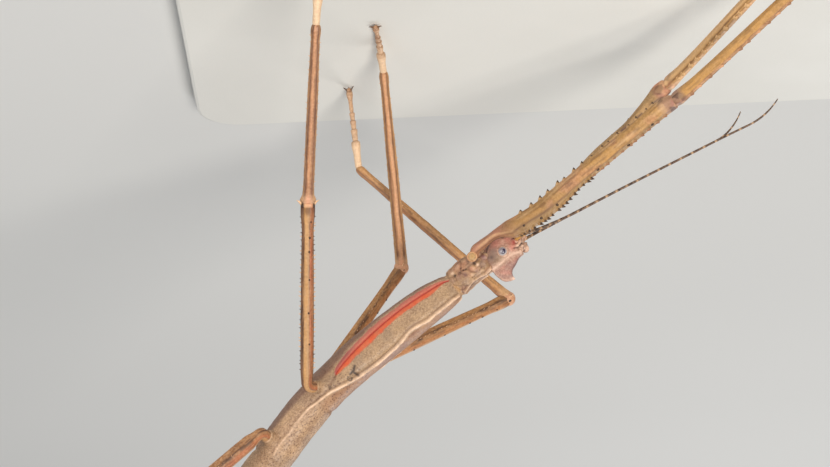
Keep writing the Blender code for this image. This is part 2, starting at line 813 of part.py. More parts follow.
def make_foot(place, points, tibia_way):
    pair, side = place.split("_")
    name = f"tarsus_{place}"
    length = TARSUS_LENGTHS[pair] * MM
    ways = [(b - a).normalized() for a, b in zip(points, points[1:])]
    level = UP.cross(direction(LEGS[place]["foot"], 0)).normalized()
    opening = half_bend(points[0], tibia_way, ways[0], leaving=True)
    places = [(point, way, TARSUS_SECTIONS[0][1:]) for point, way in opening]
    for share, *sizes in TARSUS_SECTIONS[1:]:
        joint = int(np.searchsorted(TARSUS_JOINTS, share - 1e-6))
        begun = (0.0, *TARSUS_JOINTS)[joint]
        point = points[joint] + ways[joint] * (share - begun) * length
        at_joint = abs(share - TARSUS_JOINTS[joint]) < 1e-6 and joint + 1 < len(ways)
        way = (ways[joint] + ways[joint + 1]).normalized() if at_joint else ways[joint]
        places.append((point, way, sizes))
    rings = []
    for point, way, sizes in places:
        across = (level - way * level.dot(way)).normalized()
        half_width, half_height = sizes
        rings.append(section(point, across, way.cross(across), half_width, half_height, half_height, 8))
    foot = mesh_object(name, loft(name, rings), "foot")
    tip, way = points[-1], ways[-1]
    up = way.cross(level)
    pieces = [ball("pad", tip, PAD_RADIUS * 1.3 * MM, rows=5)]
    for turn in (-1, 1):
        root = tip - way * 0.4 * MM + level * turn * 0.25 * MM
        out = (way * 0.75 + level * turn * 0.65 + up * 0.15).normalized()
        elbow = root + out * CLAW_LENGTH * MM
        pieces.append(spike("claw", root, elbow, CLAW_RADIUS * MM, 0.12 * MM, sides=6))
    combine(foot, pieces, "UNION")
    level_foot(foot.data, GROUND)


def make_base():
    bpy.ops.mesh.primitive_cube_add(size=1)
    base = bpy.context.active_object
    base.name = "stand_base"
    for vert in base.data.vertices:
        vert.co = Vector([part * size for part, size in zip(vert.co, BASE_SIZE)])
    base.location = (*BASE_CENTRE, BASE_SIZE[2] / 2)
    bm = bmesh.new()
    bm.from_mesh(base.data)
    upright = [e for e in bm.edges if abs((e.verts[0].co - e.verts[1].co).z) > BASE_SIZE[2] / 2]
    bmesh.ops.bevel(bm, geom=upright, offset=BASE_CORNER, segments=6, affect="EDGES", profile=0.5)
    bm.to_mesh(base.data)
    bm.free()
    edge = base.modifiers.new("Edge", "BEVEL")
    edge.width = BASE_EDGE
    edge.segments = 2
    edge.limit_method = "ANGLE"
    base.data.materials.append(look("base"))
    for collection in base.users_collection:
        collection.objects.unlink(base)
    bpy.data.collections["stick_insect"].objects.link(base)


def centre_on_origin(objects):
    """Moves everything so that the middle of the whole is above the origin."""
    bpy.context.view_layer.update()
    corners = [obj.matrix_world @ Vector(corner) for obj in objects for corner in obj.bound_box]
    middle = [(min(c[i] for c in corners) + max(c[i] for c in corners)) / 2 for i in (0, 1)]
    for obj in objects:
        obj.location -= Vector((*middle, 0.0))


def main():
    for obj in list(bpy.data.objects):
        bpy.data.objects.remove(obj)
    insect = bpy.data.collections.new("stick_insect")
    bpy.context.scene.collection.children.link(insect)
    make_head()
    make_antenna("antenna_left", -1, ANTENNA_TURNS["left"])
    make_antenna("antenna_right", 1, ANTENNA_TURNS["right"])
    make_thorax()
    make_abdomen()
    for place in LEGS:
        make_leg(place)
    make_base()
    centre_on_origin(list(insect.objects))


main()
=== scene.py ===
"""Life-size stick insect on its display base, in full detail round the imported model.

Sizes are millimetres in the part's own frame, before the part was centred; OFFSET and MM take them to
the row frame in metres. Headings are degrees about +Z from +X, climbs are degrees above the horizontal.
The insect faces -X and its right side is toward +Y.
"""

import itertools
import math

import bpy
import numpy as np
from mathutils import Matrix, Vector


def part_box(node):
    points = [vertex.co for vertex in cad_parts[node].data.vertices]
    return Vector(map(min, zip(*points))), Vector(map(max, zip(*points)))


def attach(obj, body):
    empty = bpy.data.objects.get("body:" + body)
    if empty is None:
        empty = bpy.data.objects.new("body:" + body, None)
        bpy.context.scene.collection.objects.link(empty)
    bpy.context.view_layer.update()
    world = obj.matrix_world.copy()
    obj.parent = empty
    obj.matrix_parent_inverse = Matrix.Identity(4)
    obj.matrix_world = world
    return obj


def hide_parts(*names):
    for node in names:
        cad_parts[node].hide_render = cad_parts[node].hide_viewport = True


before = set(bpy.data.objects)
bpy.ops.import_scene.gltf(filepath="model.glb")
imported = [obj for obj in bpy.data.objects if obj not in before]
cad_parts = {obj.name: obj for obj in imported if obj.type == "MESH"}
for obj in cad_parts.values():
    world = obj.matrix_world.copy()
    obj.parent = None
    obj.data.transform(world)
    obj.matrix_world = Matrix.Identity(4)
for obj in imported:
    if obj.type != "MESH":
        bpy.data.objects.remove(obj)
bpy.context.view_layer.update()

MM = 0.001
UP = np.array((0.0, 0.0, 1.0))
# A way that nothing here points along, from which the sides of an axis are found
ODD_WAY = np.array((0.31, 0.17, 0.93))
BASE_CENTRE = np.array((-31.0, -6.0))
GROUND = 4.3
BASE_BOX = np.array(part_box("stand_base")) / MM
OFFSET = np.array((*(BASE_BOX.mean(axis=0)[:2] - BASE_CENTRE), 0.0))

# Body line from the neck to the tip of the abdomen: distance, heading and climb
NECK = np.array((-12.95, 16.77, 51.23))
BODY_ROLL = 11.0
BODY_TURNS = (
    (0.0, 17.4, 38.2), (7.0, 17.4, 38.2), (12.0, 14.5, 33.1), (42.0, 14.5, 33.1),
    (50.0, 19.3, 43.7), (66.0, 20.5, 49.1), (100.0, 20.5, 49.1), (140.0, 21.3, 43.1),
)
METATHORAX_END = 61.7
BODY_END = 138.7
HEAD_HEADING, HEAD_CLIMB = -169.4, -24.9

# Sections of the body: distance along, top, bottom and half width
THORAX_SECTIONS = (
    (-1.4, 1.5, 1.9, 1.7), (-0.2, 1.6, 2.1, 1.9), (0.4, 2.0, 2.6, 2.4), (1.5, 1.95, 3.6, 2.75),
    (4.5, 1.65, 4.5, 2.95), (7.2, 1.65, 4.4, 2.85), (8.1, 1.6, 4.2, 2.75), (8.6, 1.4, 4.0, 2.65),
    (9.2, 1.6, 4.3, 2.85), (10.5, 2.05, 4.75, 3.15), (17.5, 2.45, 5.9, 3.65),
    (26.5, 2.65, 6.2, 4.05), (34.5, 2.75, 6.0, 4.25), (41.5, 3.15, 5.3, 4.45),
    (44.6, 3.5, 4.95, 4.4), (45.3, 3.35, 4.75, 4.2), (46.2, 3.7, 4.85, 4.45),
    (54.2, 4.05, 4.55, 4.5), (59.2, 4.2, 4.4, 4.5), (61.2, 4.1, 4.3, 4.4),
)
ABDOMEN_RADII = (4.1, 4.15, 4.2, 4.1, 4.0, 3.75, 3.4, 2.8, 2.1)
ABDOMEN_LENGTHS = (10.0, 10.0, 10.0, 10.0, 9.5, 9.5, 9.0, 9.0)
SEGMENT_SHAPE = ((0.04, -0.3), (0.1, -0.08), (0.5, 0.05), (0.88, 0.08), (0.96, 0.24), (0.99, 0.18))
TAIL_TIP = ((137.6, 1.9, 1.9, 2.05), (138.3, 1.5, 1.5, 1.7), (138.7, 0.7, 0.7, 0.9))
CERCUS = ((134.9, 0.6, 1.0), (138.3, 0.9, 1.7))
CERCUS_SHAPE = ((0.0, 0.55), (0.6, 0.5), (0.9, 0.35), (1.0, 0.15))
EGG_PLATE = dict(along=133.7, drop=1.6, radius=1.5, stretch=3.2)

# Sections of the head: distance forward of the neck, top, bottom and half width
HEAD_SECTIONS = (
    (0.1, 1.7, 2.2, 2.0), (0.5, 1.95, 2.6, 2.25), (1.4, 2.0, 2.9, 2.4), (3.0, 2.0, 3.4, 2.75),
    (4.6, 1.8, 3.5, 2.7), (6.2, 1.6, 3.2, 2.4), (7.6, 1.9, 2.5, 2.0), (8.5, 2.0, 1.7, 1.6),
    (8.9, 1.5, 1.0, 1.1),
)
CREST_OUTLINE = (
    (0.4, 0.9), (0.25, 2.2), (0.15, 3.1), (0.35, 3.95), (0.75, 4.8), (1.4, 5.65), (2.4, 6.05),
    (3.4, 6.15), (3.3, 5.2), (3.45, 4.6), (3.95, 4.05), (5.9, 2.8), (7.5, 2.2), (7.0, 0.9),
)
CREST_HALF = 2.0
CREST_TAPER = 0.82
CREST_HEIGHT = 6.15
CREST_POINTS = 90
CREST_LAYERS = 9
# Lip, jaws and palps: forward, up, right and radius
LABRUM = (8.35, 1.5, 0.0, 0.85)
JAW = (7.9, 0.2, 1.0, 0.75)
PALPS = (
    (((8.2, -0.9, 0.6), (9.3, -1.6, 0.7)), 0.27),
    (((8.4, -0.2, 1.1), (9.2, -0.5, 1.35), (9.9, -1.0, 1.3)), 0.3),
    (((8.3, 0.9, 0.9), (9.3, 0.8, 1.1)), 0.24),
)
# Eyes and the sockets of the feelers: forward, up and out to the side
EYE_PLACE = (3.9, 0.1, 2.4)
EYE_RADIUS = 0.95
SOCKET_FROM = (6.2, -0.7, 1.3)
SOCKET_TO = (7.7, -0.8, 2.35)
SOCKET_SHAPE = ((0.0, 0.85), (0.7, 0.68), (0.85, 0.75), (1.0, 0.7))
# First joint of a feeler: length inside its socket and outside it
SCAPE = (0.5, 1.3)
ANTENNA_LENGTH = 61.5
ANTENNA_TURNS = {
    "left": (
        (0.0, -171.2, -14.4), (8.0, -171.2, -19.2), (14.0, -171.0, -23.8), (30.0, -171.0, -22.4),
        (44.0, -170.5, -22.4), (53.0, -168.0, -20.0), (61.5, -157.0, -52.0),
    ),
    "right": (
        (0.0, 166.4, -29.3), (44.0, 166.2, -28.0), (52.0, 166.5, -28.5), (56.0, 172.0, -47.0),
        (61.5, 183.0, -66.0),
    ),
}
# Joints and radii of a feeler by distance from the end of its first joint
FEELER_JOINTS = np.array((-0.1, 1.6, 2.4, *(np.cumsum(2.0 + 0.045 * np.arange(24)) + 2.6)))
ANTENNA_RADII = ((0.0, 0.42), (2.0, 0.34), (5.0, 0.3), (20.0, 0.27), (55.0, 0.21), (61.5, 0.12))

# Limbs: lengths, and the sections of each as share of length, half width, half height and rise
FEMUR_LENGTHS = {"front": 52.6, "middle": 42.5, "hind": 47.0}
TIBIA_LENGTHS = {"front": 48.0, "middle": 43.9, "hind": 44.0}
# Shares of the full femur and tibia in a leg that has regrown
REGROWN = {"middle_left": (0.96, 0.912)}
TARSUS_LENGTHS = {"front": 17.5, "middle": 17.5, "hind": 16.0}
FORE_ROOT = ((-0.05, 0.95, 0.95, 0.0), (0.0, 1.0, 1.0, 0.0), (0.05, 0.95, 0.95, 0.0))
FEMUR_SECTIONS = {
    "front_left": (
        *FORE_ROOT,
        (0.08, 0.95, 0.85, -0.05), (0.11, 0.95, 1.0, 0.05), (0.145, 1.05, 1.7, 0.7),
        (0.18, 1.15, 2.35, 1.35), (0.25, 1.3, 2.3, 1.85), (0.33, 1.45, 2.25, 2.1),
        (0.41, 1.5, 2.25, 1.75), (0.5, 1.5, 1.85, 1.2), (0.68, 1.45, 1.75, 0.6),
        (0.84, 1.35, 1.75, 0.1), (0.9, 1.4, 1.85, -0.2), (0.96, 1.5, 1.85, -0.35),
        (1.0, 1.35, 1.6, -0.1),
    ),
    "front_right": (
        *FORE_ROOT,
        (0.08, 0.95, 0.85, 0.1), (0.12, 0.95, 1.1, 0.4), (0.16, 1.1, 1.5, 1.3),
        (0.2, 1.2, 1.75, 2.1), (0.3, 1.4, 1.6, 2.5), (0.4, 1.5, 1.35, 2.5), (0.48, 1.5, 1.1, 2.3),
        (0.63, 1.4, 1.25, 1.65), (0.77, 1.35, 1.15, 1.5), (0.86, 1.35, 1.4, 1.0),
        (0.92, 1.4, 1.65, 0.5), (0.965, 1.5, 1.85, 0.1), (1.0, 1.35, 1.6, 0.0),
    ),
    "middle": (
        (-0.05, 1.2, 1.2, 0.0), (0.02, 1.15, 1.15, 0.0), (0.08, 1.3, 1.5, 0.0),
        (0.3, 1.35, 1.6, 0.0), (0.65, 1.28, 1.45, 0.0), (0.86, 1.2, 1.35, 0.0),
        (0.96, 1.45, 1.5, 0.0), (1.0, 1.4, 1.4, 0.0),
    ),
    "hind": (
        (-0.05, 1.25, 1.25, 0.0), (0.02, 1.2, 1.2, 0.0), (0.08, 1.5, 1.65, 0.0),
        (0.3, 1.5, 1.7, 0.0), (0.65, 1.4, 1.5, 0.0), (0.87, 1.3, 1.35, 0.0), (0.96, 1.5, 1.5, 0.0),
        (1.0, 1.4, 1.4, 0.0),
    ),
}
TIBIA_SECTIONS = {
    "front": (
        (0.0, 1.05, 1.25, 0.0), (0.03, 1.25, 1.6, 0.1), (0.07, 1.2, 1.5, 0.2),
        (0.12, 1.1, 1.35, 0.3), (0.3, 1.05, 1.3, 0.42), (0.6, 1.05, 1.3, 0.42),
        (0.9, 0.92, 1.1, 0.1), (0.98, 1.0, 1.1, 0.0), (1.0, 0.85, 0.9, 0.0),
    ),
    "middle": (
        (0.0, 1.3, 1.05, 0.0), (0.02, 1.6, 1.35, 0.0), (0.05, 1.2, 1.25, 0.0),
        (0.12, 1.08, 1.15, 0.0), (0.6, 1.05, 1.1, 0.0), (0.92, 0.9, 0.95, 0.0),
        (0.98, 1.0, 1.0, 0.0), (1.0, 0.85, 0.85, 0.0),
    ),
    "hind": (
        (0.0, 1.05, 1.1, 0.0), (0.03, 1.35, 1.4, 0.0), (0.07, 1.3, 1.35, 0.0),
        (0.14, 1.25, 1.3, 0.0), (0.6, 1.1, 1.15, 0.0), (0.92, 0.9, 0.95, 0.0),
        (0.98, 1.0, 1.0, 0.0), (1.0, 0.85, 0.85, 0.0),
    ),
}
# Feet: shares of the length where the segments end, radii of each at both ends, and how pale each is
TARSUS_JOINTS = (0.36, 0.51, 0.62, 0.72, 1.0)
TARSUS_SIZES = ((0.78, 1.0), (0.66, 0.74), (0.58, 0.68), (0.52, 0.62), (0.46, 0.72))
TARSUS_TONES = (0.75, 0.35, 0.25, 0.2, 0.1)
PAD_RADIUS = 0.5
CLAW_LENGTH = 1.9

# Roots of the legs, with the radii of each coxa at its root and tip
COXA_LENGTHS = {"front": 5.0, "middle": 6.4, "hind": 6.6}
COXA_RADII = {"front": (1.5, 1.2), "middle": (2.4, 1.3), "hind": (2.6, 1.4)}
HIP_LENGTHS = {"front": 1.4, "middle": 2.0, "hind": 2.0}
BEND_RADIUS = 1.5
KEELS = dict(keels=(0, 60, 120, 180, 240, 300), height=0.05, width=8.0, flat=0.3)
# How far the ends of a limb are rounded out
DOMES = {"femur": (0.0, 0.6), "tibia": (0.7, 0.5)}
# How steeply each segment of a foot drops, as shares of the angle that brings it to the ground
FLAT_FOOT = (1.0, 0.7, 0.5, 0.3, 0.1)
STEEP_FOOT = (1.0, 1.0, 1.0, 0.95, 0.8)
HANGING_FOOT = (1.0, 1.0, 1.0, 1.0, 1.0)
TRAILING_FOOT = (0.62, 0.6, 0.55, 0.45, 0.35)
# Place along the body, drop and lean of the coxa, heading and climb of femur and tibia, and the foot
LEGS = {
    "front_left": dict(
        at=4.8, drop=44, lean=48, femur=(-148.9, -23.9), tibia=(-141.3, -26.8), foot=-142.0, curl=FLAT_FOOT
    ),
    "front_right": dict(
        at=3.4, drop=50, lean=37, femur=(-157.5, -33.1), tibia=(-119.9, -14.2), foot=-121.0, curl=FLAT_FOOT
    ),
    "middle_left": dict(
        at=41.5, drop=20, lean=-30, femur=(-94.8, -49.3), tibia=(-96.6, -39.4), foot=-104.0, curl=STEEP_FOOT
    ),
    "middle_right": dict(
        at=41.5, drop=20, lean=9, femur=(170.0, -25.4), tibia=(-7.3, -43.7), foot=-71.8, curl=HANGING_FOOT
    ),
    "hind_left": dict(
        at=58.5, drop=20, lean=2, femur=(-6.0, 40.0), tibia=(4.0, -42.0), foot=4.0, curl=TRAILING_FOOT
    ),
    "hind_right": dict(
        at=58.5, drop=20, lean=6, femur=(176.4, -54.3), tibia=(-85.1, -53.5), foot=-85.0, curl=FLAT_FOOT
    ),
}

# Fineness of the meshes: voxels of the skins, points round a ring, steps along a line, rounds of
# smoothing, and the angle from which an edge stays sharp
BODY_VOXEL = 0.16
HEAD_VOXEL = 0.085
SKIN_RING = 72
LIMB_RING = 48
BODY_STEP = 0.35
HEAD_STEP = 0.15
LIMB_STEP = 0.22
LINE_LENGTH = 142.0
FEELER_STEP = 0.15
FEELER_ROUNDS = 30
SHARP_ANGLE = 50

SIDES = (("left", -1), ("right", 1))


# Plain geometry


def unit(vectors):
    return vectors / np.linalg.norm(vectors, axis=-1, keepdims=True)


def direction(heading, climb):
    """Unit vectors with these headings and climbs."""
    h, c = np.radians(heading), np.radians(climb)
    return np.stack((np.cos(h) * np.cos(c), np.sin(h) * np.cos(c), np.sin(c)), axis=-1)


def turned(turns, along):
    """Directions of a bent line at these distances, from its table of turns."""
    distances, headings, climbs = zip(*turns)
    return direction(np.interp(along, distances, headings), np.interp(along, distances, climbs))


def line_of(start, turns, length, step=0.1):
    """Distances along a bent line and its points there."""
    count = int(math.ceil(length / step))
    step = length / count
    ways = turned(turns, (np.arange(count) + 0.5) * step)
    points = start + np.concatenate((np.zeros((1, 3)), np.cumsum(ways * step, axis=0)))
    return np.arange(count + 1) * step, points


def eased(table, at):
    """Columns of a table at these values of its first column, on smooth curves that don't overshoot."""
    xs, *columns = (np.array(column, dtype=float) for column in zip(*table))
    at = np.clip(np.atleast_1d(np.asarray(at, dtype=float)), xs[0], xs[-1])
    gaps = np.diff(xs)
    k = np.clip(np.searchsorted(xs, at, side="right") - 1, 0, len(gaps) - 1)
    t = (at - xs[k]) / gaps[k]
    found = []
    for ys in columns:
        slopes = np.diff(ys) / gaps
        tangents = np.concatenate((slopes[:1], np.zeros(len(slopes) - 1), slopes[-1:]))
        for i in range(1, len(slopes)):
            if slopes[i - 1] * slopes[i] > 0:
                before, after = 2 * gaps[i] + gaps[i - 1], gaps[i] + 2 * gaps[i - 1]
                tangents[i] = (before + after) / (before / slopes[i - 1] + after / slopes[i])
        a, b = ys[k], ys[k + 1]
        m, n = tangents[k] * gaps[k], tangents[k + 1] * gaps[k]
        found.append(
            (2 * t**3 - 3 * t**2 + 1) * a
            + (t**3 - 2 * t**2 + t) * m
            + (-2 * t**3 + 3 * t**2) * b
            + (t**3 - t**2) * n
        )
    return found


def swung(vectors, before, after):
    """Vectors turned by the turn that takes one unit vector to another."""
    axis = np.cross(before, after)
    once = np.cross(axis, vectors)
    return vectors + once + np.cross(axis, once) / (1 + np.sum(before * after, axis=-1, keepdims=True))


def hump(value, width):
    """Soft hump, 1 at 0 and near 0 beyond twice the width."""
    return np.exp(-((value / width) ** 2))


def bump_at(value, centre, width):
    """Soft hump with its top at the centre."""
    return hump(value - centre, width)


def step_at(value, start, end):
    """Smooth step from 0 at the start to 1 at the end, which may lie below the start."""
    t = np.clip((value - start) / (end - start), 0.0, 1.0)
    return t * t * (3 - 2 * t)


def clipped(masks):
    """Masks kept between 0 and 1."""
    return {mark: np.clip(values, 0.0, 1.0) for mark, values in masks.items()}


def stroke_at(places, path):
    """Distance of these places, in any number of dimensions, from a broken line."""
    path = np.array(path, dtype=float)
    nearest = np.full(len(places), 1e9)
    for a, b in zip(path, path[1:]):
        along = np.clip((places - a) @ (b - a) / np.dot(b - a, b - a), 0.0, 1.0)
        nearest = np.minimum(nearest, np.linalg.norm(places - a - along[:, None] * (b - a), axis=1))
    return nearest


def hashed(cells, seed):
    """Repeatable pseudo-random numbers from 0 to 1 for whole-numbered cells."""
    cells = cells.astype(np.int64)
    mixed = cells[..., 0] * 73856093 ^ cells[..., 1] * 19349663 ^ cells[..., 2] * 83492791 ^ seed * 40503
    mixed = ((mixed ^ (mixed >> 13)) * 1274126177) & 0xFFFFFFFF
    mixed = ((mixed ^ (mixed >> 15)) * 668265263) & 0xFFFFFFFF
    return ((mixed ^ (mixed >> 16)) & 0xFFFFFF) / float(0x1000000)


def soft_noise(points, size, seed):
    """Smooth noise from -1 to 1 whose features are this size."""
    places = points / size
    cells = np.floor(places)
    t = places - cells
    t = t * t * (3 - 2 * t)
    total = 0.0
    for corner in itertools.product((0, 1), repeat=3):
        weight = np.prod(np.where(np.array(corner) == 1, t, 1 - t), axis=-1)
        total = total + weight * hashed(cells + corner, seed)
    return total * 2 - 1


def grains(points, size, seed, share=1.0):
    """Rounded grains scattered over the surface, from 0 between them to 1 at their tops."""
    places = points / size
    cells = np.floor(places)
    top = np.zeros(len(points))
    for step in itertools.product((-1, 0, 1), repeat=3):
        cell = cells + step
        shift = np.stack([hashed(cell, seed + k) for k in (1, 2, 3)], axis=-1) - 0.5
        far = np.linalg.norm(places - (cell + 0.5 + 0.7 * shift), axis=-1)
        there = hashed(cell, seed + 4) < share
        top = np.maximum(top, np.where(there, 1 - far / 0.55, 0.0))
    return np.clip(top, 0.0, 1.0)


# The body line and its frame


def sides_of(forward):
    """Right and top sides of body parts that point forward, with the body's roll."""
    level = unit(UP - forward * np.sum(forward * UP, axis=-1, keepdims=True))
    right = np.cross(forward, level)
    roll = math.radians(BODY_ROLL)
    return (
        right * math.cos(roll) - level * math.sin(roll),
        level * math.cos(roll) + right * math.sin(roll),
    )


LINE_AT, LINE_POINTS = line_of(NECK, BODY_TURNS, LINE_LENGTH)


def body_frame(along):
    """Points, forward directions, right sides and top sides of the body line."""
    along = np.asarray(along, dtype=float)
    forward = -turned(BODY_TURNS, along)
    inside = np.clip(along, 0.0, LINE_AT[-1])
    points = np.stack([np.interp(inside, LINE_AT, LINE_POINTS[:, i]) for i in range(3)], axis=-1)
    points = points - forward * (along - inside)[..., None]
    return (points, forward, *sides_of(forward))


def body_place(points):
    """Distance along the body of these points, and how far they lie to its right and top."""
    coarse = LINE_POINTS[::10]
    along = []
    for some in np.array_split(points, len(points) // 20000 + 1):
        gaps = np.linalg.norm(some[:, None] - coarse[None], axis=-1)
        along.append(LINE_AT[::10][np.argmin(gaps, axis=1)])
    along = np.concatenate(along)
    for _ in range(3):
        centres, forward, _, _ = body_frame(along)
        along = np.clip(along - np.sum((points - centres) * forward, axis=-1), -3.0, LINE_LENGTH)
    centres, _, right, top = body_frame(along)
    away = points - centres
    return along, np.sum(away * right, axis=-1), np.sum(away * top, axis=-1)


HEAD_FORWARD = direction(HEAD_HEADING, HEAD_CLIMB)
HEAD_RIGHT, HEAD_TOP = sides_of(HEAD_FORWARD)


def head_point(forward, up, right):
    """Points of the head from distances forward of the neck, up and to the right."""
    forward, up, right = (np.asarray(part, dtype=float)[..., None] for part in (forward, up, right))
    return NECK + HEAD_FORWARD * forward + HEAD_TOP * up + HEAD_RIGHT * right


def sided(place, side):
    """Point of the head on one side, -1 for the left and 1 for the right."""
    forward, up, out = place
    return head_point(forward, up, side * out)


def head_place(points):
    """Distances forward of the neck, up and to the right of these points."""
    away = points - NECK
    return away @ HEAD_FORWARD, away @ HEAD_TOP, away @ HEAD_RIGHT


# Shells: points, faces and masks, before they are joined into pieces


def shell(points, faces):
    """A closed surface, and room for its masks, which are numbers at each point."""
    return dict(points=points, faces=faces, masks={})


def tube(centres, across, up, half_width, top, bottom, count, profile=None):
    """Closed surface through rings; returns it with the ring number and angle of each point."""
    across, up = (np.broadcast_to(side, centres.shape) for side in (across, up))
    angles = 2 * math.pi * np.arange(count) / count
    out = np.ones(count) if profile is None else profile
    x = np.cos(angles) * out
    y = np.sin(angles) * out
    height = np.where(y > 0, np.asarray(top)[:, None], np.asarray(bottom)[:, None]) * y
    width = np.asarray(half_width)[:, None] * x
    rings = centres[:, None] + across[:, None] * width[..., None] + up[:, None] * height[..., None]
    rows = len(centres)
    points = np.concatenate((rings.reshape(-1, 3), centres[:1], centres[-1:]))
    index = np.arange(rows * count).reshape(rows, count)
    after = np.roll(index, -1, axis=1)
    quads = np.stack((index[:-1], after[:-1], after[1:], index[1:]), axis=-1).reshape(-1, 4)
    first, last = rows * count, rows * count + 1
    fans = [(first, after[0, k], index[0, k]) for k in range(count)]
    fans += [(last, index[-1, k], after[-1, k]) for k in range(count)]
    made = shell(points, [*quads.tolist(), *fans])
    row = np.concatenate((np.repeat(np.arange(rows), count), (0, rows - 1)))
    angle = np.concatenate((np.tile(np.degrees(angles), rows), (0.0, 0.0)))
    return made, row, angle


def ball_shell(centre, radius, axis=UP, stretch=1.0, rows=24):
    """Ball, or an ellipsoid stretched along an axis."""
    turns = np.linspace(0.02, 0.98, rows) * math.pi
    way = unit(axis)
    side = unit(np.cross(way, (0.3, 0.9, 0.2)))
    over = np.cross(way, side)
    centres = centre - way * (np.cos(turns) * radius * stretch)[:, None]
    sizes = np.sin(turns) * radius
    return tube(centres, side, over, sizes, sizes, sizes, 2 * rows)[0]


def ring_shell(centre, axis, radius, thick):
    """Round ring of round section about an axis."""
    count, sides = 36, 10
    first = unit(np.cross(axis, ODD_WAY))
    second = np.cross(axis, first)
    turn = 2 * math.pi * np.arange(count) / count
    spin = 2 * math.pi * np.arange(sides) / sides
    out = first * np.cos(turn)[:, None] + second * np.sin(turn)[:, None]
    points = centre + out[:, None] * (radius + thick * np.cos(spin))[None, :, None]
    points = points + axis * (thick * np.sin(spin))[None, :, None]
    index = np.arange(count * sides).reshape(count, sides)
    beside, ahead = np.roll(index, -1, axis=1), np.roll(index, -1, axis=0)
    faces = np.stack((index, ahead, np.roll(ahead, -1, axis=1), beside), axis=-1).reshape(-1, 4)
    return shell(points.reshape(-1, 3), faces.tolist())


def horn(root, tip, lean_to, radius, flat, sides=8, rings=7, hook=0.25):
    """Tooth or spine: a curved cone, its base spread along lean_to and thin across it by flat."""
    axis = tip - root
    length = np.linalg.norm(axis)
    way = axis / length
    along = unit(lean_to - way * np.dot(lean_to, way))
    thin = np.cross(way, along)
    t = np.linspace(0.0, 0.97, rings)
    spread = radius * ((1 - t) ** 0.85 + 0.25 * np.exp(-t / 0.12))
    bent = (t**2 - t) * hook * length
    centres = root + way * (t * length)[:, None] + along * bent[:, None]
    made, row, _ = tube(centres, along, thin, spread, spread * flat, spread * flat, sides)
    return made, t[row]


def linked(name, data):
    """New object in the scene."""
    obj = bpy.data.objects.new(name, data)
    bpy.context.scene.collection.objects.link(obj)
    return obj


def joined(shells):
    """Points of these shells, and their faces numbered through."""
    faces, start = [], 0
    for part in shells:
        faces += [tuple(start + k for k in face) for face in part["faces"]]
        start += len(part["points"])
    return np.concatenate([part["points"] for part in shells]), faces


def dressed(name, mesh, masks, material, replaced):
    """Puts a mesh with its masks on the model, in place of these nodes."""
    for mask, values in masks.items():
        attribute = mesh.attributes.new(mask, "FLOAT", "POINT")
        attribute.data.foreach_set("value", np.asarray(values, dtype=np.float32))
    mesh.materials.clear()
    mesh.materials.append(material)
    mesh.shade_smooth()
    obj = linked(name, mesh)
    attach(obj, "root")
    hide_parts(*replaced)


def object_from(name, shells, material, replaced):
    """Puts these shells on the model as one piece."""
    points, faces = joined(shells)
    mesh = bpy.data.meshes.new(name)
    mesh.from_pydata(((points + OFFSET) * MM).tolist(), [], faces)
    mesh.validate()
    masks = {}
    for mask in sorted({mask for part in shells for mask in part["masks"]}):
        values = [part["masks"].get(mask, 0.0) for part in shells]
        spread = [np.broadcast_to(value, len(part["points"])) for value, part in zip(values, shells)]
        masks[mask] = np.concatenate(spread)
    dressed(name, mesh, masks, material, replaced)
    mesh.set_sharp_from_angle(angle=math.radians(SHARP_ANGLE))


def fused(shells, voxel, smooth=4):
    """Points and faces of one skin round these shells."""
    mesh = bpy.data.meshes.new("fused")
    points, faces = joined(shells)
    mesh.from_pydata((points * MM).tolist(), [], faces)
    obj = linked("fused", mesh)
    remesh = obj.modifiers.new("Remesh", "REMESH")
    remesh.mode = "VOXEL"
    remesh.voxel_size = voxel * MM
    remesh.adaptivity = 0.0
    relax = obj.modifiers.new("Smooth", "SMOOTH")
    relax.factor = 0.5
    relax.iterations = smooth
    made = bpy.data.meshes.new_from_object(obj.evaluated_get(bpy.context.evaluated_depsgraph_get()))
    bpy.data.objects.remove(obj)
    bpy.data.meshes.remove(mesh)
    return made


def mesh_points(mesh):
    """Points of a mesh in millimetres and their normals."""
    points = np.empty(len(mesh.vertices) * 3)
    mesh.vertices.foreach_get("co", points)
    normals = np.empty(len(mesh.vertices) * 3)
    mesh.vertex_normals.foreach_get("vector", normals)
    return points.reshape(-1, 3) / MM, normals.reshape(-1, 3)


def skin_object(name, mesh, points, masks, material, replaced):
    """Puts a fused skin on the model, moved to these points."""
    mesh.name = name
    mesh.vertices.foreach_set("co", ((points + OFFSET) * MM).ravel())
    mesh.update()
    dressed(name, mesh, masks, material, replaced)


# Materials


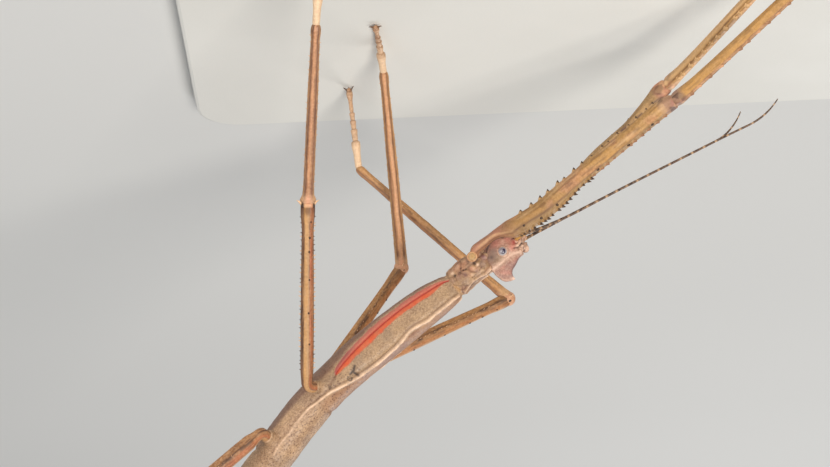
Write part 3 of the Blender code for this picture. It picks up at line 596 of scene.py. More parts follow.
class Paint:
    """A material's node tree, with short ways to add nodes to it."""

    def __init__(self, name):
        self.material = bpy.data.materials.new(name)
        self.material.use_nodes = True
        self.tree = self.material.node_tree
        self.shader = self.tree.nodes["Principled BSDF"]
        self.place = self.node("ShaderNodeTexCoord", "Object", {})

    def node(self, kind, output, inputs, **settings):
        """One output of a new node, from values or sockets for its inputs."""
        made = self.tree.nodes.new(kind)
        for key, value in settings.items():
            setattr(made, key, value)
        for key, value in inputs.items():
            self.put(made.inputs[key], value)
        return made.outputs[output]

    def put(self, socket, value):
        if isinstance(value, bpy.types.NodeSocket):
            self.tree.links.new(value, socket)
        elif socket.type == "RGBA":
            socket.default_value = (*value, 1.0)
        else:
            socket.default_value = value

    def mask(self, name):
        return self.node("ShaderNodeAttribute", "Fac", {}, attribute_name=name)

    def noise(self, scale, detail=3.0, roughness=0.55):
        inputs = dict(Scale=scale, Detail=detail, Roughness=roughness, Vector=self.place)
        return self.node("ShaderNodeTexNoise", "Fac", inputs)

    def spots(self, scale):
        return self.node("ShaderNodeTexVoronoi", "Distance", dict(Scale=scale, Vector=self.place))

    def between(self, value, low, high, to_low=0.0, to_high=1.0):
        inputs = {"From Min": low, "From Max": high, "To Min": to_low, "To Max": to_high, "Value": value}
        return self.node("ShaderNodeMapRange", "Result", inputs)

    def times(self, a, b):
        return self.node("ShaderNodeMath", 0, {0: a, 1: b}, operation="MULTIPLY")

    def mix(self, share, a, b):
        return self.node("ShaderNodeMix", 2, {0: share, 6: a, 7: b}, data_type="RGBA")

    def bump(self, height, distance, strength, **under):
        inputs = dict(Distance=distance, Strength=strength, Height=height, **under)
        return self.node("ShaderNodeBump", "Normal", inputs)

    def set(self, **values):
        for key, value in values.items():
            self.put(self.shader.inputs[key.replace("_", " ").title()], value)
        return self.material


def linear(red, green, blue):
    """Linear colour from the display values 0 to 1."""
    return tuple(c / 12.92 if c <= 0.04045 else ((c + 0.055) / 1.055) ** 2.4 for c in (red, green, blue))


# Colours of the marks, later ones over earlier ones; the pale tone is each paint's own
MARK_TONES = {
    "olive": (0.60, 0.51, 0.36),
    "warm": (0.84, 0.61, 0.30),
    "grey": (0.50, 0.44, 0.40),
    "pink": (0.92, 0.55, 0.48),
    "plum": (0.50, 0.33, 0.36),
    "red": (0.95, 0.36, 0.17),
    "crimson": (0.72, 0.13, 0.09),
    "brown": (0.40, 0.26, 0.18),
    "pale": None,
    "dark": (0.13, 0.06, 0.06),
}


def chitin(name, light, deep, speck, pale, scale=900.0, specks=0.3):
    """Skin of the insect: two mottled tones with specks, and its marks by the masks of the mesh."""
    paint = Paint(name)
    broad = paint.between(paint.noise(scale * 0.35, 4.0), 0.35, 0.65)
    fine = paint.between(paint.noise(scale * 2.2, 3.0, 0.6), 0.38, 0.66)
    colour = paint.mix(broad, linear(*light), linear(*deep))
    colour = paint.mix(paint.times(fine, 0.35), colour, linear(*pale))
    dots = paint.between(paint.spots(scale * 1.9), 0.12, 0.3, 1.0, 0.0)
    colour = paint.mix(paint.times(dots, specks), colour, linear(*speck))
    streaks = paint.between(fine, 0.0, 1.0, 0.8, 1.0)
    for mark, tone in {**MARK_TONES, "pale": pale}.items():
        colour = paint.mix(paint.times(paint.mask(mark), streaks), colour, linear(*tone))
    rough = paint.between(paint.noise(scale * 1.3, 2.0), 0.3, 0.7, 0.42, 0.62)
    relief = paint.bump(paint.noise(scale * 2.5, 3.0, 0.6), 0.00006, 0.5)
    relief = paint.bump(dots, 0.00003, 0.5, Normal=relief)
    return paint.set(base_color=colour, roughness=rough, normal=relief)


BODY_PAINT = chitin(
    "body", (0.72, 0.57, 0.42), (0.60, 0.46, 0.34), (0.30, 0.19, 0.14), (0.98, 0.82, 0.68), 1250, 0.6
)
HEAD_PAINT = chitin(
    "head", (0.71, 0.51, 0.42), (0.61, 0.42, 0.35), (0.44, 0.26, 0.22), (1.0, 0.84, 0.73), 1200
)
FORELEG_PAINT = chitin(
    "foreleg", (0.72, 0.54, 0.32), (0.60, 0.44, 0.25), (0.40, 0.24, 0.14), (0.93, 0.75, 0.54)
)
LEG_PAINT = chitin("leg", (0.71, 0.49, 0.30), (0.57, 0.37, 0.22), (0.34, 0.19, 0.12), (0.96, 0.78, 0.60))
FOOT_PAINT = chitin("foot", (0.76, 0.57, 0.42), (0.60, 0.42, 0.31), (0.33, 0.19, 0.15), (1.0, 0.86, 0.70))
FEELER_PAINT = chitin(
    "feeler", (0.24, 0.12, 0.08), (0.16, 0.08, 0.06), (0.10, 0.05, 0.05), (0.80, 0.64, 0.48)
)


# Body


def abdomen_sections():
    """Sections of the abdomen, whose segments flare toward their rear rims."""
    table, start = [], METATHORAX_END
    for k, length in enumerate(ABDOMEN_LENGTHS):
        front, rear = ABDOMEN_RADII[k], ABDOMEN_RADII[k + 1]
        for share, step in SEGMENT_SHAPE:
            radius = front + (rear - front) * share + step
            table.append((start + share * length, radius, radius, radius * 1.04))
        start += length
    return [row for row in table if row[0] < TAIL_TIP[0][0] - 0.3] + list(TAIL_TIP)


def hip_line(place):
    """Where a leg's coxa starts in the body, and the way it points."""
    side = place.split("_")[1]
    leg = LEGS[place]
    start, forward, right, up = body_frame(leg["at"])
    drop, lean = math.radians(leg["drop"]), math.radians(leg["lean"])
    outward = right if side == "right" else -right
    square = outward * math.cos(drop) - up * math.sin(drop)
    return start, square * math.cos(lean) + forward * math.sin(lean)


def straight_tube(start, end, table, count=32):
    """Round tube between two points, from a table of share and radius."""
    way = unit(end - start)
    shares = np.linspace(table[0][0], table[-1][0], 40)
    (radii,) = eased(table, shares)
    across = unit(np.cross(way, ODD_WAY))
    centres = start + (end - start) * shares[:, None]
    return tube(centres, across, np.cross(way, across), radii, radii, radii, count)[0]


# Lobes round the neck: distance along, angle above the side line, distance out and radius
FLANGES = ((0.3, -24.0, 1.75, 1.0), (0.7, -62.0, 2.4, 1.2), (1.3, 2.0, 1.9, 0.95))


def coxa_shell(place):
    """Boss on the body that carries a leg."""
    pair = place.split("_")[0]
    start, way = hip_line(place)
    root, tip = COXA_RADII[pair]
    end = start + way * COXA_LENGTHS[pair]
    swell = ((0.75, tip * 1.15), (0.88, tip * 0.98), (0.95, tip * 1.08), (1.0, tip * 0.95))
    return straight_tube(start, end, ((0.0, root), (0.55, root * 0.9 + tip * 0.1), *swell))


# Marks on the flanks, by distance along and angle above the side line
RIDGE_LINE = (
    (8.6, 45.0), (10.8, 29.0), (13.1, 29.5), (17.0, 31.0), (20.2, 19.0), (23.1, 23.0), (26.5, 34.0),
    (30.2, 40.0), (35.1, 36.0), (38.6, 27.0), (43.0, 12.0), (50.0, 9.0), (61.0, 14.0),
)
STRIPE_LINES = (
    (8.2, -47.5, -46.5, -45.5), (9.1, -53.0, -48.0, -46.0), (10.6, -61.0, -50.0, -42.0),
    (14.6, -67.0, -51.0, -34.0), (20.0, -67.0, -52.5, -38.0), (25.3, -64.0, -49.5, -33.0),
    (29.5, -59.0, -44.5, -26.0), (33.8, -52.0, -37.0, -21.0), (37.0, -41.0, -28.0, -15.0),
    (38.8, -31.0, -21.0, -13.0), (39.8, -18.0, -15.5, -13.0),
)
STRIPE_TRAIL = ((39.6, -16.0), (40.7, -9.0), (41.9, -3.7))
STRIPE_PIT = (42.1, 1.5)
STRIPE_SPOT = (29.6, -33.0)
SCAR = (
    ((35.3, -3.0), (36.3, 9.4), (35.9, 25.6)),
    ((36.1, 5.0), (37.0, 8.0)),
)
SCAR_RING = (37.7, 17.4)
PROTHORAX_DOTS = (
    (4.96, -44.7, 0.17), (4.81, -33.0, 0.2), (4.26, -28.0, 0.2), (2.1, -18.0, 0.3), (6.9, -40.0, 0.24),
)
PROTHORAX_FOLDS = (
    ((2.1, -18.0), (3.4, -29.0), (4.3, -28.0), (4.8, -33.0)),
    ((2.1, -18.0), (1.6, -19.0), (0.9, -25.0), (0.3, -50.0)),
    ((5.6, -36.0), (5.45, -25.0), (5.1, -8.0)),
    ((1.3, 8.0), (2.6, 22.0), (4.4, 20.0)),
)
PROTHORAX_RIDGE = (
    (0.3, 62.0), (0.9, 62.0), (1.9, 66.0), (2.95, 50.0), (5.0, 37.0), (6.4, 46.0), (7.6, 58.0),
)
PROTHORAX_SPOTS = (
    # The first two plum spots, at the neck, are painted shadow between the first lobe and the head
    ("plum", 0.1, -28.0, 0.75, 0.8), ("plum", -0.6, -10.0, 0.7, 0.8), ("grey", 0.9, -5.0, 0.5, 0.7),
    ("pale", 1.85, -8.5, 0.3, 1.0), ("pale", 0.3, -36.0, 0.35, 0.5),
    ("pink", 3.5, -50.0, 1.3, 0.12), ("pink", 3.5, -12.0, 0.55, 0.35),
    ("pale", 3.0, -6.0, 0.3, 0.6), ("pink", 5.6, -60.0, 1.4, 0.25),
    ("brown", 5.0, -55.0, 1.6, 0.25), ("plum", 5.2, -14.0, 0.6, 0.7),
    ("plum", 5.9, -30.0, 0.5, 0.5), ("grey", 6.2, 15.0, 1.2, 0.45), ("pale", 7.0, -54.0, 0.42, 0.9),
    ("olive", 7.0, -50.0, 0.8, 0.5), ("dark", 6.9, -40.0, 0.3, 0.7),
)


def thorax_marks(along, angle, radius, points):
    """Relief and masks of the thorax from distance along and angle above the side line."""
    flank = np.radians(angle) * radius

    def off(path):
        """Distance of each point from a path of distances along and angles."""
        nearest = np.full(len(along), 1e9)
        for (s0, a0), (s1, a1) in zip(path, path[1:]):
            for share in np.linspace(0.0, 1.0, 7):
                ahead = along - (s0 + (s1 - s0) * share)
                round_it = flank - np.radians(a0 + (a1 - a0) * share) * radius
                nearest = np.minimum(nearest, np.hypot(ahead, round_it))
        return nearest

    def off_spot(at):
        return np.hypot(along - at[0], np.radians(angle - at[1]) * radius)

    line = np.stack((along, 0 * along, 0 * along), axis=-1)
    (ridge_angle,) = eased(RIDGE_LINE, along)
    on_ridge = step_at(along, 8.5, 9.4) * (1 - 0.5 * step_at(along, 46.0, 52.0))
    on_ridge = on_ridge * step_at(along, 61.5, 60.0)
    off_ridge = np.radians(angle - ridge_angle) * radius + 0.15 * soft_noise(line, 2.2, 5)
    knots = 0.8 + 0.35 * soft_noise(line, 0.9, 6)
    ridge = hump(off_ridge, 0.28) * on_ridge * knots
    beside = bump_at(off_ridge, -0.55, 0.25) * on_ridge
    # Painted shade: the back beyond the ridge faces up into the key light and is painted browner to darken
    # it; it also takes pink, plum and warm tints
    beyond = step_at(off_ridge, 0.3, 0.9) * on_ridge * step_at(along, 48.0, 42.0)

    top, middle, low = eased(STRIPE_LINES, along)
    upper = np.clip((angle - middle) / (top - middle), 0.0, 4.0)
    lower = np.clip((angle - middle) / (low - middle), 0.0, 4.0)
    across = np.where(angle < middle, upper, lower)
    ragged = across + 0.14 * soft_noise(points, 0.7, 8)
    on_stripe = step_at(along, 8.3, 8.8) * step_at(along, 39.9, 39.2)
    band = step_at(ragged, 1.05, 0.85) * on_stripe * (0.88 + 0.2 * soft_noise(points, 0.9, 24))
    under = step_at(angle - middle, -1.5, 1.5)
    off_line = np.abs(angle - middle) * math.pi / 180 * radius
    crease = hump(off_line, 0.2) * on_stripe
    head_end = 1 - step_at(along, 10.0, 13.5)
    pink = band * (1 - under) + 0.5 * band * under * head_end
    red = band * under * (1 - 0.3 * step_at(lower, 0.6, 1.0)) * (1 - 0.35 * head_end)
    blend = band * (1 - under) * step_at(upper, 0.45, 0.05) * 0.55
    rear_stripe = step_at(along, 31.0, 36.0)
    plum = band * (1 - under) * rear_stripe * bump_at(upper, 0.6, 0.4) * 0.9
    trail = hump(off(STRIPE_TRAIL), 0.28)
    pit = off_spot(STRIPE_PIT)
    spot = hump(off_spot(STRIPE_SPOT), 0.25)

    scar = np.minimum(off(SCAR[0]), off(SCAR[1]))
    ring = off_spot(SCAR_RING)
    on_meso = step_at(along, 8.6, 9.2)
    dark = hump(scar, 0.3) + 0.8 * bump_at(ring, 0.45, 0.13) + 0.8 * hump(ring, 0.15)
    dark = dark + 0.75 * hump(pit, 0.3)

    on_pro = 1 - step_at(along, 8.0, 8.5)
    near_pro = on_pro * step_at(along, -0.9, -0.4)
    edge = off(PROTHORAX_RIDGE)
    thick = 0.22 + 0.2 * step_at(along, 4.0, 2.6)
    pro_ridge = hump(edge, thick) * near_pro
    pro_shade = bump_at(edge, thick + 0.28, 0.16) * near_pro * step_at(angle, 35.0, 60.0)
    folds = [off(path) for path in PROTHORAX_FOLDS]
    fold_line = hump(np.min(folds, axis=0), 0.15) * near_pro
    fold_line = fold_line * (0.7 + 0.5 * soft_noise(points, 0.7, 20))
    holes = sum(hump(off_spot(at), size) for *at, size in PROTHORAX_DOTS)
    collar = bump_at(along, 8.35, 0.3)
    wrinkles = soft_noise(points, 0.8, 15) * near_pro
    cells = hump(soft_noise(points, 1.0, 22), 0.1) * near_pro

    relief = 0.36 * ridge - 0.14 * beside - 0.1 * crease - 0.05 * band
    relief = relief - 0.14 * hump(scar, 0.32) + 0.08 * bump_at(ring, 0.45, 0.16) - 0.1 * trail
    relief = relief + 0.3 * pro_ridge - 0.26 * fold_line - 0.1 * collar
    relief = relief - 0.16 * hump(pit, 0.35) + 0.08 * bump_at(pit, 0.55, 0.16)
    relief = relief + 0.13 * wrinkles - 0.09 * cells - 0.18 * holes
    wide = soft_noise(points, 3.0, 23)
    blush = 0.15 * near_pro * step_at(soft_noise(points, 1.3, 16), -0.2, 0.5)
    middle_flank = step_at(angle, -45.0, -15.0) * step_at(angle, 40.0, 20.0) * on_meso
    # Painted shade on the underside of the thorax, below the stripe, laid on in plum and brown
    underside_shade = step_at(middle - angle, 12.0, 26.0) * on_meso * step_at(along, 62.0, 58.0)
    masks = dict(
        olive=0.22 * middle_flank * step_at(along, 50.0, 40.0),
        pale=ridge * 1.15 + 0.7 * pro_ridge + 0.3 * step_at(wrinkles, 0.15, 0.6),
        red=red + 0.9 * spot + 0.35 * pink * on_stripe,
        pink=pink * 0.9 + blush * (1 - band) + 0.15 * beyond,
        plum=(
            plum
            + 0.6 * band * bump_at(upper, 0.9, 0.35) * (1 - under)
            + 0.3 * beyond * step_at(wide, -0.2, 0.5)
            + 0.25 * near_pro * step_at(soft_noise(points, 1.1, 17), 0.1, 0.6)
            + 0.35 * underside_shade
        ),
        warm=0.2 * near_pro + 0.5 * collar * step_at(angle, -30, -5) + 0.4 * blend + 0.2 * beyond,
        crimson=crease + blend * 0.5,
        brown=(
            near_pro * (0.15 + 0.25 * step_at(angle, 15, 45))
            + 0.4 * beyond
            + 0.18 * band
            + 0.2 * collar
            + 0.6 * cells
            + 0.45 * (fold_line + underside_shade)
            + 0.5 * (trail + beside)
            + 0.7 * pro_shade
        ),
        dark=dark + holes + 0.25 * fold_line,
        grey=(
            0.3 * near_pro * step_at(soft_noise(points, 1.5, 18), 0.0, 0.6)
            + 0.25 * step_at(wide, 0.0, 0.7) * on_meso
        ),
    )
    for mark, *at, size, strength in PROTHORAX_SPOTS:
        place = hump(off_spot(at) + 0.15 * soft_noise(points, 0.6, 19), size)
        masks[mark] = masks[mark] + place * strength * near_pro
    return relief, clipped(masks)


def make_body():
    """Thorax and abdomen with the roots of the legs, as one skin."""
    along = np.array([THORAX_SECTIONS[0][0], *np.arange(-1.0, BODY_END - 0.3, BODY_STEP), BODY_END])
    top, bottom, half_width = eased([*THORAX_SECTIONS, *abdomen_sections()], along)
    centres, _, right, up = body_frame(along)
    trunk, _, _ = tube(centres, right, up, half_width, top, bottom, SKIN_RING)
    shells = [trunk, *(coxa_shell(place) for place in LEGS)]
    centre, forward, _, above = body_frame(EGG_PLATE["along"])
    plate = centre - above * EGG_PLATE["drop"]
    shells.append(ball_shell(plate, EGG_PLATE["radius"], forward, EGG_PLATE["stretch"]))
    for side in (-1, 1):
        ends = []
        for at, lift, out in CERCUS:
            centre, _, right, above = body_frame(at)
            ends.append(centre + above * lift + right * side * out)
        shells.append(straight_tube(*ends, CERCUS_SHAPE, count=20))
    for side in (-1, 1):
        for at, turn, out, size in FLANGES:
            centre, forward, right, above = body_frame(at)
            lift = math.radians(turn)
            away = right * side * math.cos(lift) + above * math.sin(lift)
            shells.append(ball_shell(centre + away * out, size, forward + away * 0.2, stretch=1.7))
    mesh = fused(shells, BODY_VOXEL)
    points, normals = mesh_points(mesh)
    along, right, up = body_place(points)
    radius = np.hypot(right, up)
    angle = np.degrees(np.arctan2(up, np.abs(right)))
    relief, masks = thorax_marks(along, angle, radius, points)
    relief = relief + 0.045 * grains(points, 0.5, 11) + 0.05 * soft_noise(points, 1.6, 3)
    rough_places = 0.45 + 0.55 * step_at(along, 26.0, 40.0) * step_at(angle, -25.0, 5.0)
    grain = grains(points, 0.42, 21, share=0.5) * rough_places * (1 - masks["pale"])
    grain = grain * step_at(along, 8.6, 9.5)
    masks["brown"] = masks["brown"] + grain * 0.95 * (1 - 0.7 * masks["red"])
    masks["dark"] = masks["dark"] + 0.35 * step_at(grain, 0.3, 0.6)
    names = ["prothorax", "mesothorax", "metathorax", *(f"abdomen_{k}" for k in (1, 2, 3, 4))]
    moved = points + normals * relief[:, None]
    skin_object("body_skin", mesh, moved, clipped(masks), BODY_PAINT, names)


# Head


def crest_shell():
    """Blade over the head, thinner toward its edge, in layers across the head."""
    outline = np.array(CREST_OUTLINE)
    steps = np.concatenate(((0.0,), np.cumsum(np.linalg.norm(np.diff(outline, axis=0), axis=1))))
    at = np.linspace(0.0, steps[-1], CREST_POINTS)
    loop = np.stack([np.interp(at, steps, outline[:, i]) for i in (0, 1)], axis=-1)
    points = []
    for layer in np.linspace(-1.0, 1.0, CREST_LAYERS):
        side = layer * CREST_HALF * (1 - CREST_TAPER * np.clip(loop[:, 1] / CREST_HEIGHT, 0.0, 1.0))
        points.append(head_point(loop[:, 0], loop[:, 1], side))
    points = np.concatenate(points)
    index = np.arange(len(points)).reshape(CREST_LAYERS, CREST_POINTS)
    after = np.roll(index, -1, axis=1)
    quads = np.stack((index[:-1], after[:-1], after[1:], index[1:]), axis=-1).reshape(-1, 4)
    return shell(points, [*quads.tolist(), index[0, ::-1].tolist(), index[-1].tolist()])


# Marks of the head by distance forward and up from the neck, and how wide and strong each is
HEAD_RIDGE = ((0.3, 2.2), (1.2, 2.1), (2.6, 1.85), (4.2, 1.45), (5.6, 1.35), (6.8, 1.7), (7.9, 1.95))
# Groove along the lower rear edge of the head, painted dark as the contact shadow where the fore femur lies
# against it
HEAD_SHADOW_GROOVE = (
    (0.2, -0.7), (0.83, -1.64), (1.64, -2.55), (2.51, -3.03), (3.46, -3.23), (4.34, -3.25),
    (4.93, -2.99), (5.45, -2.6),
)
HEAD_LINES = (
    ((8.2, 1.3), (7.8, 2.1), (7.4, 2.3)),
    ((6.3, 0.7), (7.2, 0.9), (8.2, 0.5), (8.6, -0.2)),
    ((6.9, -1.3), (7.8, -1.2), (8.6, -1.0)),
)
HEAD_SPOTS = (
    ("grey", 1.2, 0.1, 1.1, 0.45), ("brown", 1.2, 0.0, 1.3, 0.6), ("olive", 2.0, 1.0, 1.2, 0.4),
    ("olive", 3.4, 0.95, 0.9, 0.3), ("grey", 2.4, -1.0, 1.0, 0.5), ("grey", 4.6, 0.6, 0.55, 0.5),
    ("dark", 1.25, 0.05, 0.28, 0.45), ("dark", 0.5, -0.3, 0.25, 0.4),
    ("crimson", 6.8, -0.3, 0.45, 0.7), ("dark", 6.8, -0.3, 0.22, 0.5),
    ("pale", 7.4, 0.45, 0.35, 0.5), ("pale", 8.2, 0.0, 0.35, 0.5), ("pink", 3.6, -2.4, 1.4, 0.35),
    ("crimson", 3.2, -2.9, 0.8, 0.15), ("crimson", 5.6, -2.3, 0.7, 0.2),
    ("pink", 6.0, -1.6, 0.9, 0.4), ("pink", 6.0, 0.3, 0.7, 0.6), ("warm", 5.2, -2.7, 0.5, 0.5),
    ("pale", 5.0, -1.9, 0.45, 0.45), ("pale", 8.0, 0.6, 0.9, 0.2), ("warm", 7.6, 0.4, 0.7, 0.25),
)


def make_head():
    """Head with its crest, mouthparts and sockets, as one skin."""
    first, last = HEAD_SECTIONS[0][0], HEAD_SECTIONS[-1][0]
    along = np.array([*np.arange(first, last, HEAD_STEP), last])
    top, bottom, half_width = eased(HEAD_SECTIONS, along)
    centres = head_point(along, 0.0 * along, 0.0 * along)
    capsule, _, _ = tube(centres, HEAD_RIGHT, HEAD_TOP, half_width, top, bottom, SKIN_RING)
    shells = [capsule, crest_shell(), ball_shell(head_point(*LABRUM[:3]), LABRUM[3], HEAD_TOP, stretch=1.15)]
    for side in (-1, 1):
        start, end = sided(SOCKET_FROM, side), sided(SOCKET_TO, side)
        shells.append(straight_tube(start, end, SOCKET_SHAPE, count=24))
        shells.append(ball_shell(sided(EYE_PLACE, side * 0.9), EYE_RADIUS * 1.15))
        shells.append(ball_shell(sided(JAW[:3], side), JAW[3], HEAD_FORWARD - HEAD_TOP * 0.5, stretch=1.5))
        for path, radius in PALPS:
            joints = [head_point(f, u, side * r) for f, u, r in path]
            for start, end in zip(joints, joints[1:]):
                shape = ((0.0, radius * 0.75), (0.12, radius), (0.85, radius * 1.05), (1.0, radius * 0.7))
                shells.append(straight_tube(start, end, shape, count=16))
    mesh = fused(shells, HEAD_VOXEL, smooth=6)
    points, normals = mesh_points(mesh)
    forward, up, right = head_place(points)
    flat = np.stack((forward, up), axis=-1)
    side = np.abs(right)
    wobble = 0.12 * soft_noise(points, 0.6, 35)

    off_ridge = stroke_at(flat, HEAD_RIDGE) + wobble
    flank = step_at(side, 0.5, 1.0)
    ridge = hump(off_ridge, 0.42) * flank
    line_off = np.min([stroke_at(flat, path) for path in HEAD_LINES], axis=0) + wobble * 0.5
    lines = hump(line_off, 0.14) * flank
    on_crest = step_at(up, 2.3, 3.0)
    # Groove painted dark as the contact shadow of the fore femur on the head
    shadow_groove = hump(stroke_at(flat, HEAD_SHADOW_GROOVE) + wobble * 0.4, 0.26)
    front_edge = on_crest * hump(stroke_at(flat, CREST_OUTLINE[7:13]), 0.35)
    rear_edge = on_crest * hump(stroke_at(flat, CREST_OUTLINE[:7]), 0.3)
    hook = step_at(forward, 2.3, 3.2) * step_at(up, 5.3, 5.9)
    lumps = soft_noise(points, 0.9, 36)
    eye_off = np.hypot(forward - EYE_PLACE[0], up - EYE_PLACE[1])
    eye_rim = bump_at(eye_off, EYE_RADIUS * 1.1, 0.1) * step_at(side, 1.6, 2.0)
    labrum = hump(np.hypot(forward - 8.9, up - 1.9), 0.75) * step_at(side, 1.3, 0.9)
    mouth = step_at(forward, 7.0, 7.8)
    jaws = step_at(forward, 6.6, 7.2) * (1 - on_crest)
    bits = soft_noise(points, 0.5, 37)
    mouth_of_socket = np.array(SOCKET_TO) * 0.75 + np.array(SOCKET_FROM) * 0.25
    off_socket = np.linalg.norm(np.stack((forward, up, side), axis=-1) - mouth_of_socket, axis=1)
    socket = hump(off_socket, 0.6)

    relief = 0.02 * grains(points, 0.4, 31) + 0.05 * soft_noise(points, 1.0, 33) + 0.03 * lumps
    relief = relief + 0.22 * ridge - 0.1 * lines - 0.1 * shadow_groove - 0.12 * jaws * bits
    relief = relief + 0.09 * eye_rim - 0.07 * bump_at(eye_off, EYE_RADIUS * 1.4, 0.2)
    relief = relief - 0.08 * bump_at(off_ridge, 0.85, 0.3) * flank
    masks = dict(
        pale=(
            ridge * 0.6
            + 0.3 * rear_edge
            + 0.9 * hook
            + 0.5 * labrum
            + 0.4 * jaws * step_at(-bits, 0.15, 0.45)
            + 0.4 * eye_rim
            + 0.1 * mouth
        ),
        pink=0.3 * on_crest * step_at(lumps, -0.3, 0.5) + 0.15 * step_at(-up, 1.2, 2.0),
        plum=0.45 * front_edge + 0.3 * on_crest * step_at(-lumps, 0.0, 0.6),
        brown=lines * 0.7 + 0.25 * front_edge + 0.15 * on_crest + 0.35 * mouth * step_at(lumps, 0.0, 0.5),
        dark=lines * 0.55 + shadow_groove * 0.75 + 0.55 * jaws * step_at(bits, 0.25, 0.5),
        crimson=0.8 * socket,
        red=0.25 * socket,
        grey=0.1 * flank * (1 - on_crest),
        olive=0.12 * flank * (1 - on_crest),
        warm=0.15 * mouth,
    )
    for mark, f0, u0, size, strength in HEAD_SPOTS:
        place = hump(np.hypot(forward - f0, up - u0) + wobble, size) * flank
        masks[mark] = masks[mark] + place * strength * (1 - on_crest)
    quiet = 1 - np.clip(eye_rim, 0.0, 1.0)
    for mark in ("grey", "olive", "pink", "plum"):
        masks[mark] = masks[mark] * quiet
    moved = points + normals * relief[:, None]
    skin_object("head_skin", mesh, moved, clipped(masks), HEAD_PAINT, ["head"])


def make_eyes():
    """Glossy facetted eyes with a dark pupil spot and crescent."""
    paint = Paint("eye")
    colour = paint.mix(
        paint.between(paint.noise(1500.0), 0.35, 0.65), linear(0.72, 0.69, 0.69), linear(0.54, 0.50, 0.54)
    )
    colour = paint.mix(paint.mask("dark"), colour, linear(0.16, 0.13, 0.26))
    colour = paint.mix(paint.mask("pale"), colour, linear(0.95, 0.90, 0.86))
    relief = paint.bump(paint.spots(12000.0), 0.00001, 0.4)
    material = paint.set(base_color=colour, roughness=0.12, coat_weight=0.8, normal=relief)
    for name, side in SIDES:
        centre = head_point(EYE_PLACE[0], EYE_PLACE[1], side * (EYE_PLACE[2] + 0.08))
        made = ball_shell(centre, EYE_RADIUS, HEAD_RIGHT, stretch=1.0, rows=40)
        forward, up, right = head_place(made["points"])
        out = (right * side - EYE_PLACE[2]) / EYE_RADIUS
        ahead, above = (forward - EYE_PLACE[0]) / EYE_RADIUS, (up - EYE_PLACE[1]) / EYE_RADIUS
        off = np.hypot(ahead, above)
        lower = step_at(above * 0.8 + ahead * 0.6, -0.15, 0.25)
        crescent = bump_at(off, 0.5, 0.22) * lower
        core = hump(np.hypot(ahead - 0.28, above + 0.05), 0.3) * 0.8
        rim = bump_at(off, 0.9, 0.14)
        made["masks"] = dict(dark=np.clip(crescent + core, 0, 1) * step_at(out, 0.1, 0.4), pale=rim * 0.5)
        object_from(f"eye_{name}_detail", [made], material, [f"eye_{name}"])


# Feelers


def make_antennae():
    """Jointed feelers on their bent lines."""
    for side_name, side in SIDES:
        start = sided(SOCKET_TO, side)
        way = unit(start - sided(SOCKET_FROM, side))
        elbow = start + way * SCAPE[1]
        turns = ANTENNA_TURNS[side_name]
        at, line = line_of(elbow, turns, ANTENNA_LENGTH, FEELER_STEP)
        ways = turned(turns, at)
        lead = np.linspace(0.0, 1.0, 12)[:-1, None]
        inside = start - way * SCAPE[0]
        line = np.concatenate((inside + (elbow - inside) * lead, line))
        ways = np.concatenate((np.tile(way, (len(lead), 1)), ways))
        for _ in range(FEELER_ROUNDS):
            ways[1:-1] = unit(ways[:-2] + 2 * ways[1:-1] + ways[2:])
        at = np.concatenate((sum(SCAPE) * (lead[:, 0] - 1), at))
        (radii,) = eased(ANTENNA_RADII, at)
        beyond = at[:, None] - FEELER_JOINTS[None]
        gap = np.min(np.abs(beyond), axis=1)
        past = np.min(np.where(beyond >= 0, beyond, 99.0), axis=1)
        radii = radii * (1 + 0.1 * hump(past, 0.5) - 0.22 * hump(gap, 0.09))
        radii[-1] *= 0.3
        across = unit(np.cross(ways, UP))
        made, row, _ = tube(line, across, np.cross(ways, across), radii, radii, radii, count=14)
        pale = bump_at(np.minimum(past, gap), 0.05, 0.2)
        warm = 1 - step_at(at, 0.6, 1.6)
        made["masks"] = dict(pale=(pale * step_at(at, 1.0, 3.0))[row], warm=(warm * 0.9)[row])
        object_from(f"feeler_{side_name}", [made], FEELER_PAINT, [f"antenna_{side_name}"])


# Legs


def corners_of(place):
    """End of a leg's coxa, its hip, knee and ankle."""
    pair = place.split("_")[0]
    leg = LEGS[place]
    start, way = hip_line(place)
    root = start + way * COXA_LENGTHS[pair]
    hip = root + way * HIP_LENGTHS[pair]
    femur_share, tibia_share = REGROWN.get(place, (1.0, 1.0))
    knee = hip + direction(*leg["femur"]) * FEMUR_LENGTHS[pair] * femur_share
    ankle = knee + direction(*leg["tibia"]) * TIBIA_LENGTHS[pair] * tibia_share
    return root, hip, knee, ankle


def foot_points(place, ankle):
    """Joints of a foot, whose segments level out as it reaches the ground."""
    pair = place.split("_")[0]
    leg = LEGS[place]
    shares = np.diff((0.0, *TARSUS_JOINTS))
    curl = np.array(leg["curl"])
    drop = ankle[2] - GROUND - PAD_RADIUS
    low, high = 0.0, 90.0
    for _ in range(40):
        middle = (low + high) / 2
        fall = np.sum(shares * np.sin(np.radians(middle * curl))) * TARSUS_LENGTHS[pair]
        low, high = (middle, high) if fall < drop else (low, middle)
    points = [ankle]
    for share, part in zip(shares, curl):
        points.append(points[-1] + direction(leg["foot"], -low * part) * share * TARSUS_LENGTHS[pair])
    return points


def limb_frame(way):
    """Level side and upper side of a limb."""
    level = unit(np.cross(UP, way))
    return level, np.cross(way, level)


def keeled(count, keels, height, width, flat):
    """Radial profile with keels at these angles and flatter faces between them."""
    angles = 360.0 * np.arange(count) / count
    edges = np.sort(np.array(keels, dtype=float))
    spans = np.diff(np.append(edges, edges[0] + 360))
    profile = np.ones(count)
    for first, span in zip(edges, spans):
        inside = (angles - first) % 360
        here = inside <= span
        half = math.radians(span / 2)
        polygon = math.cos(half) / np.cos(np.radians(inside) - half)
        profile = np.where(here, 1 + flat * (polygon - 1), profile)
    for edge in edges:
        away = (angles - edge + 180) % 360 - 180
        profile += height * np.exp(-((away / width) ** 2))
    return profile / profile.max() * (1 + height * 0.6)


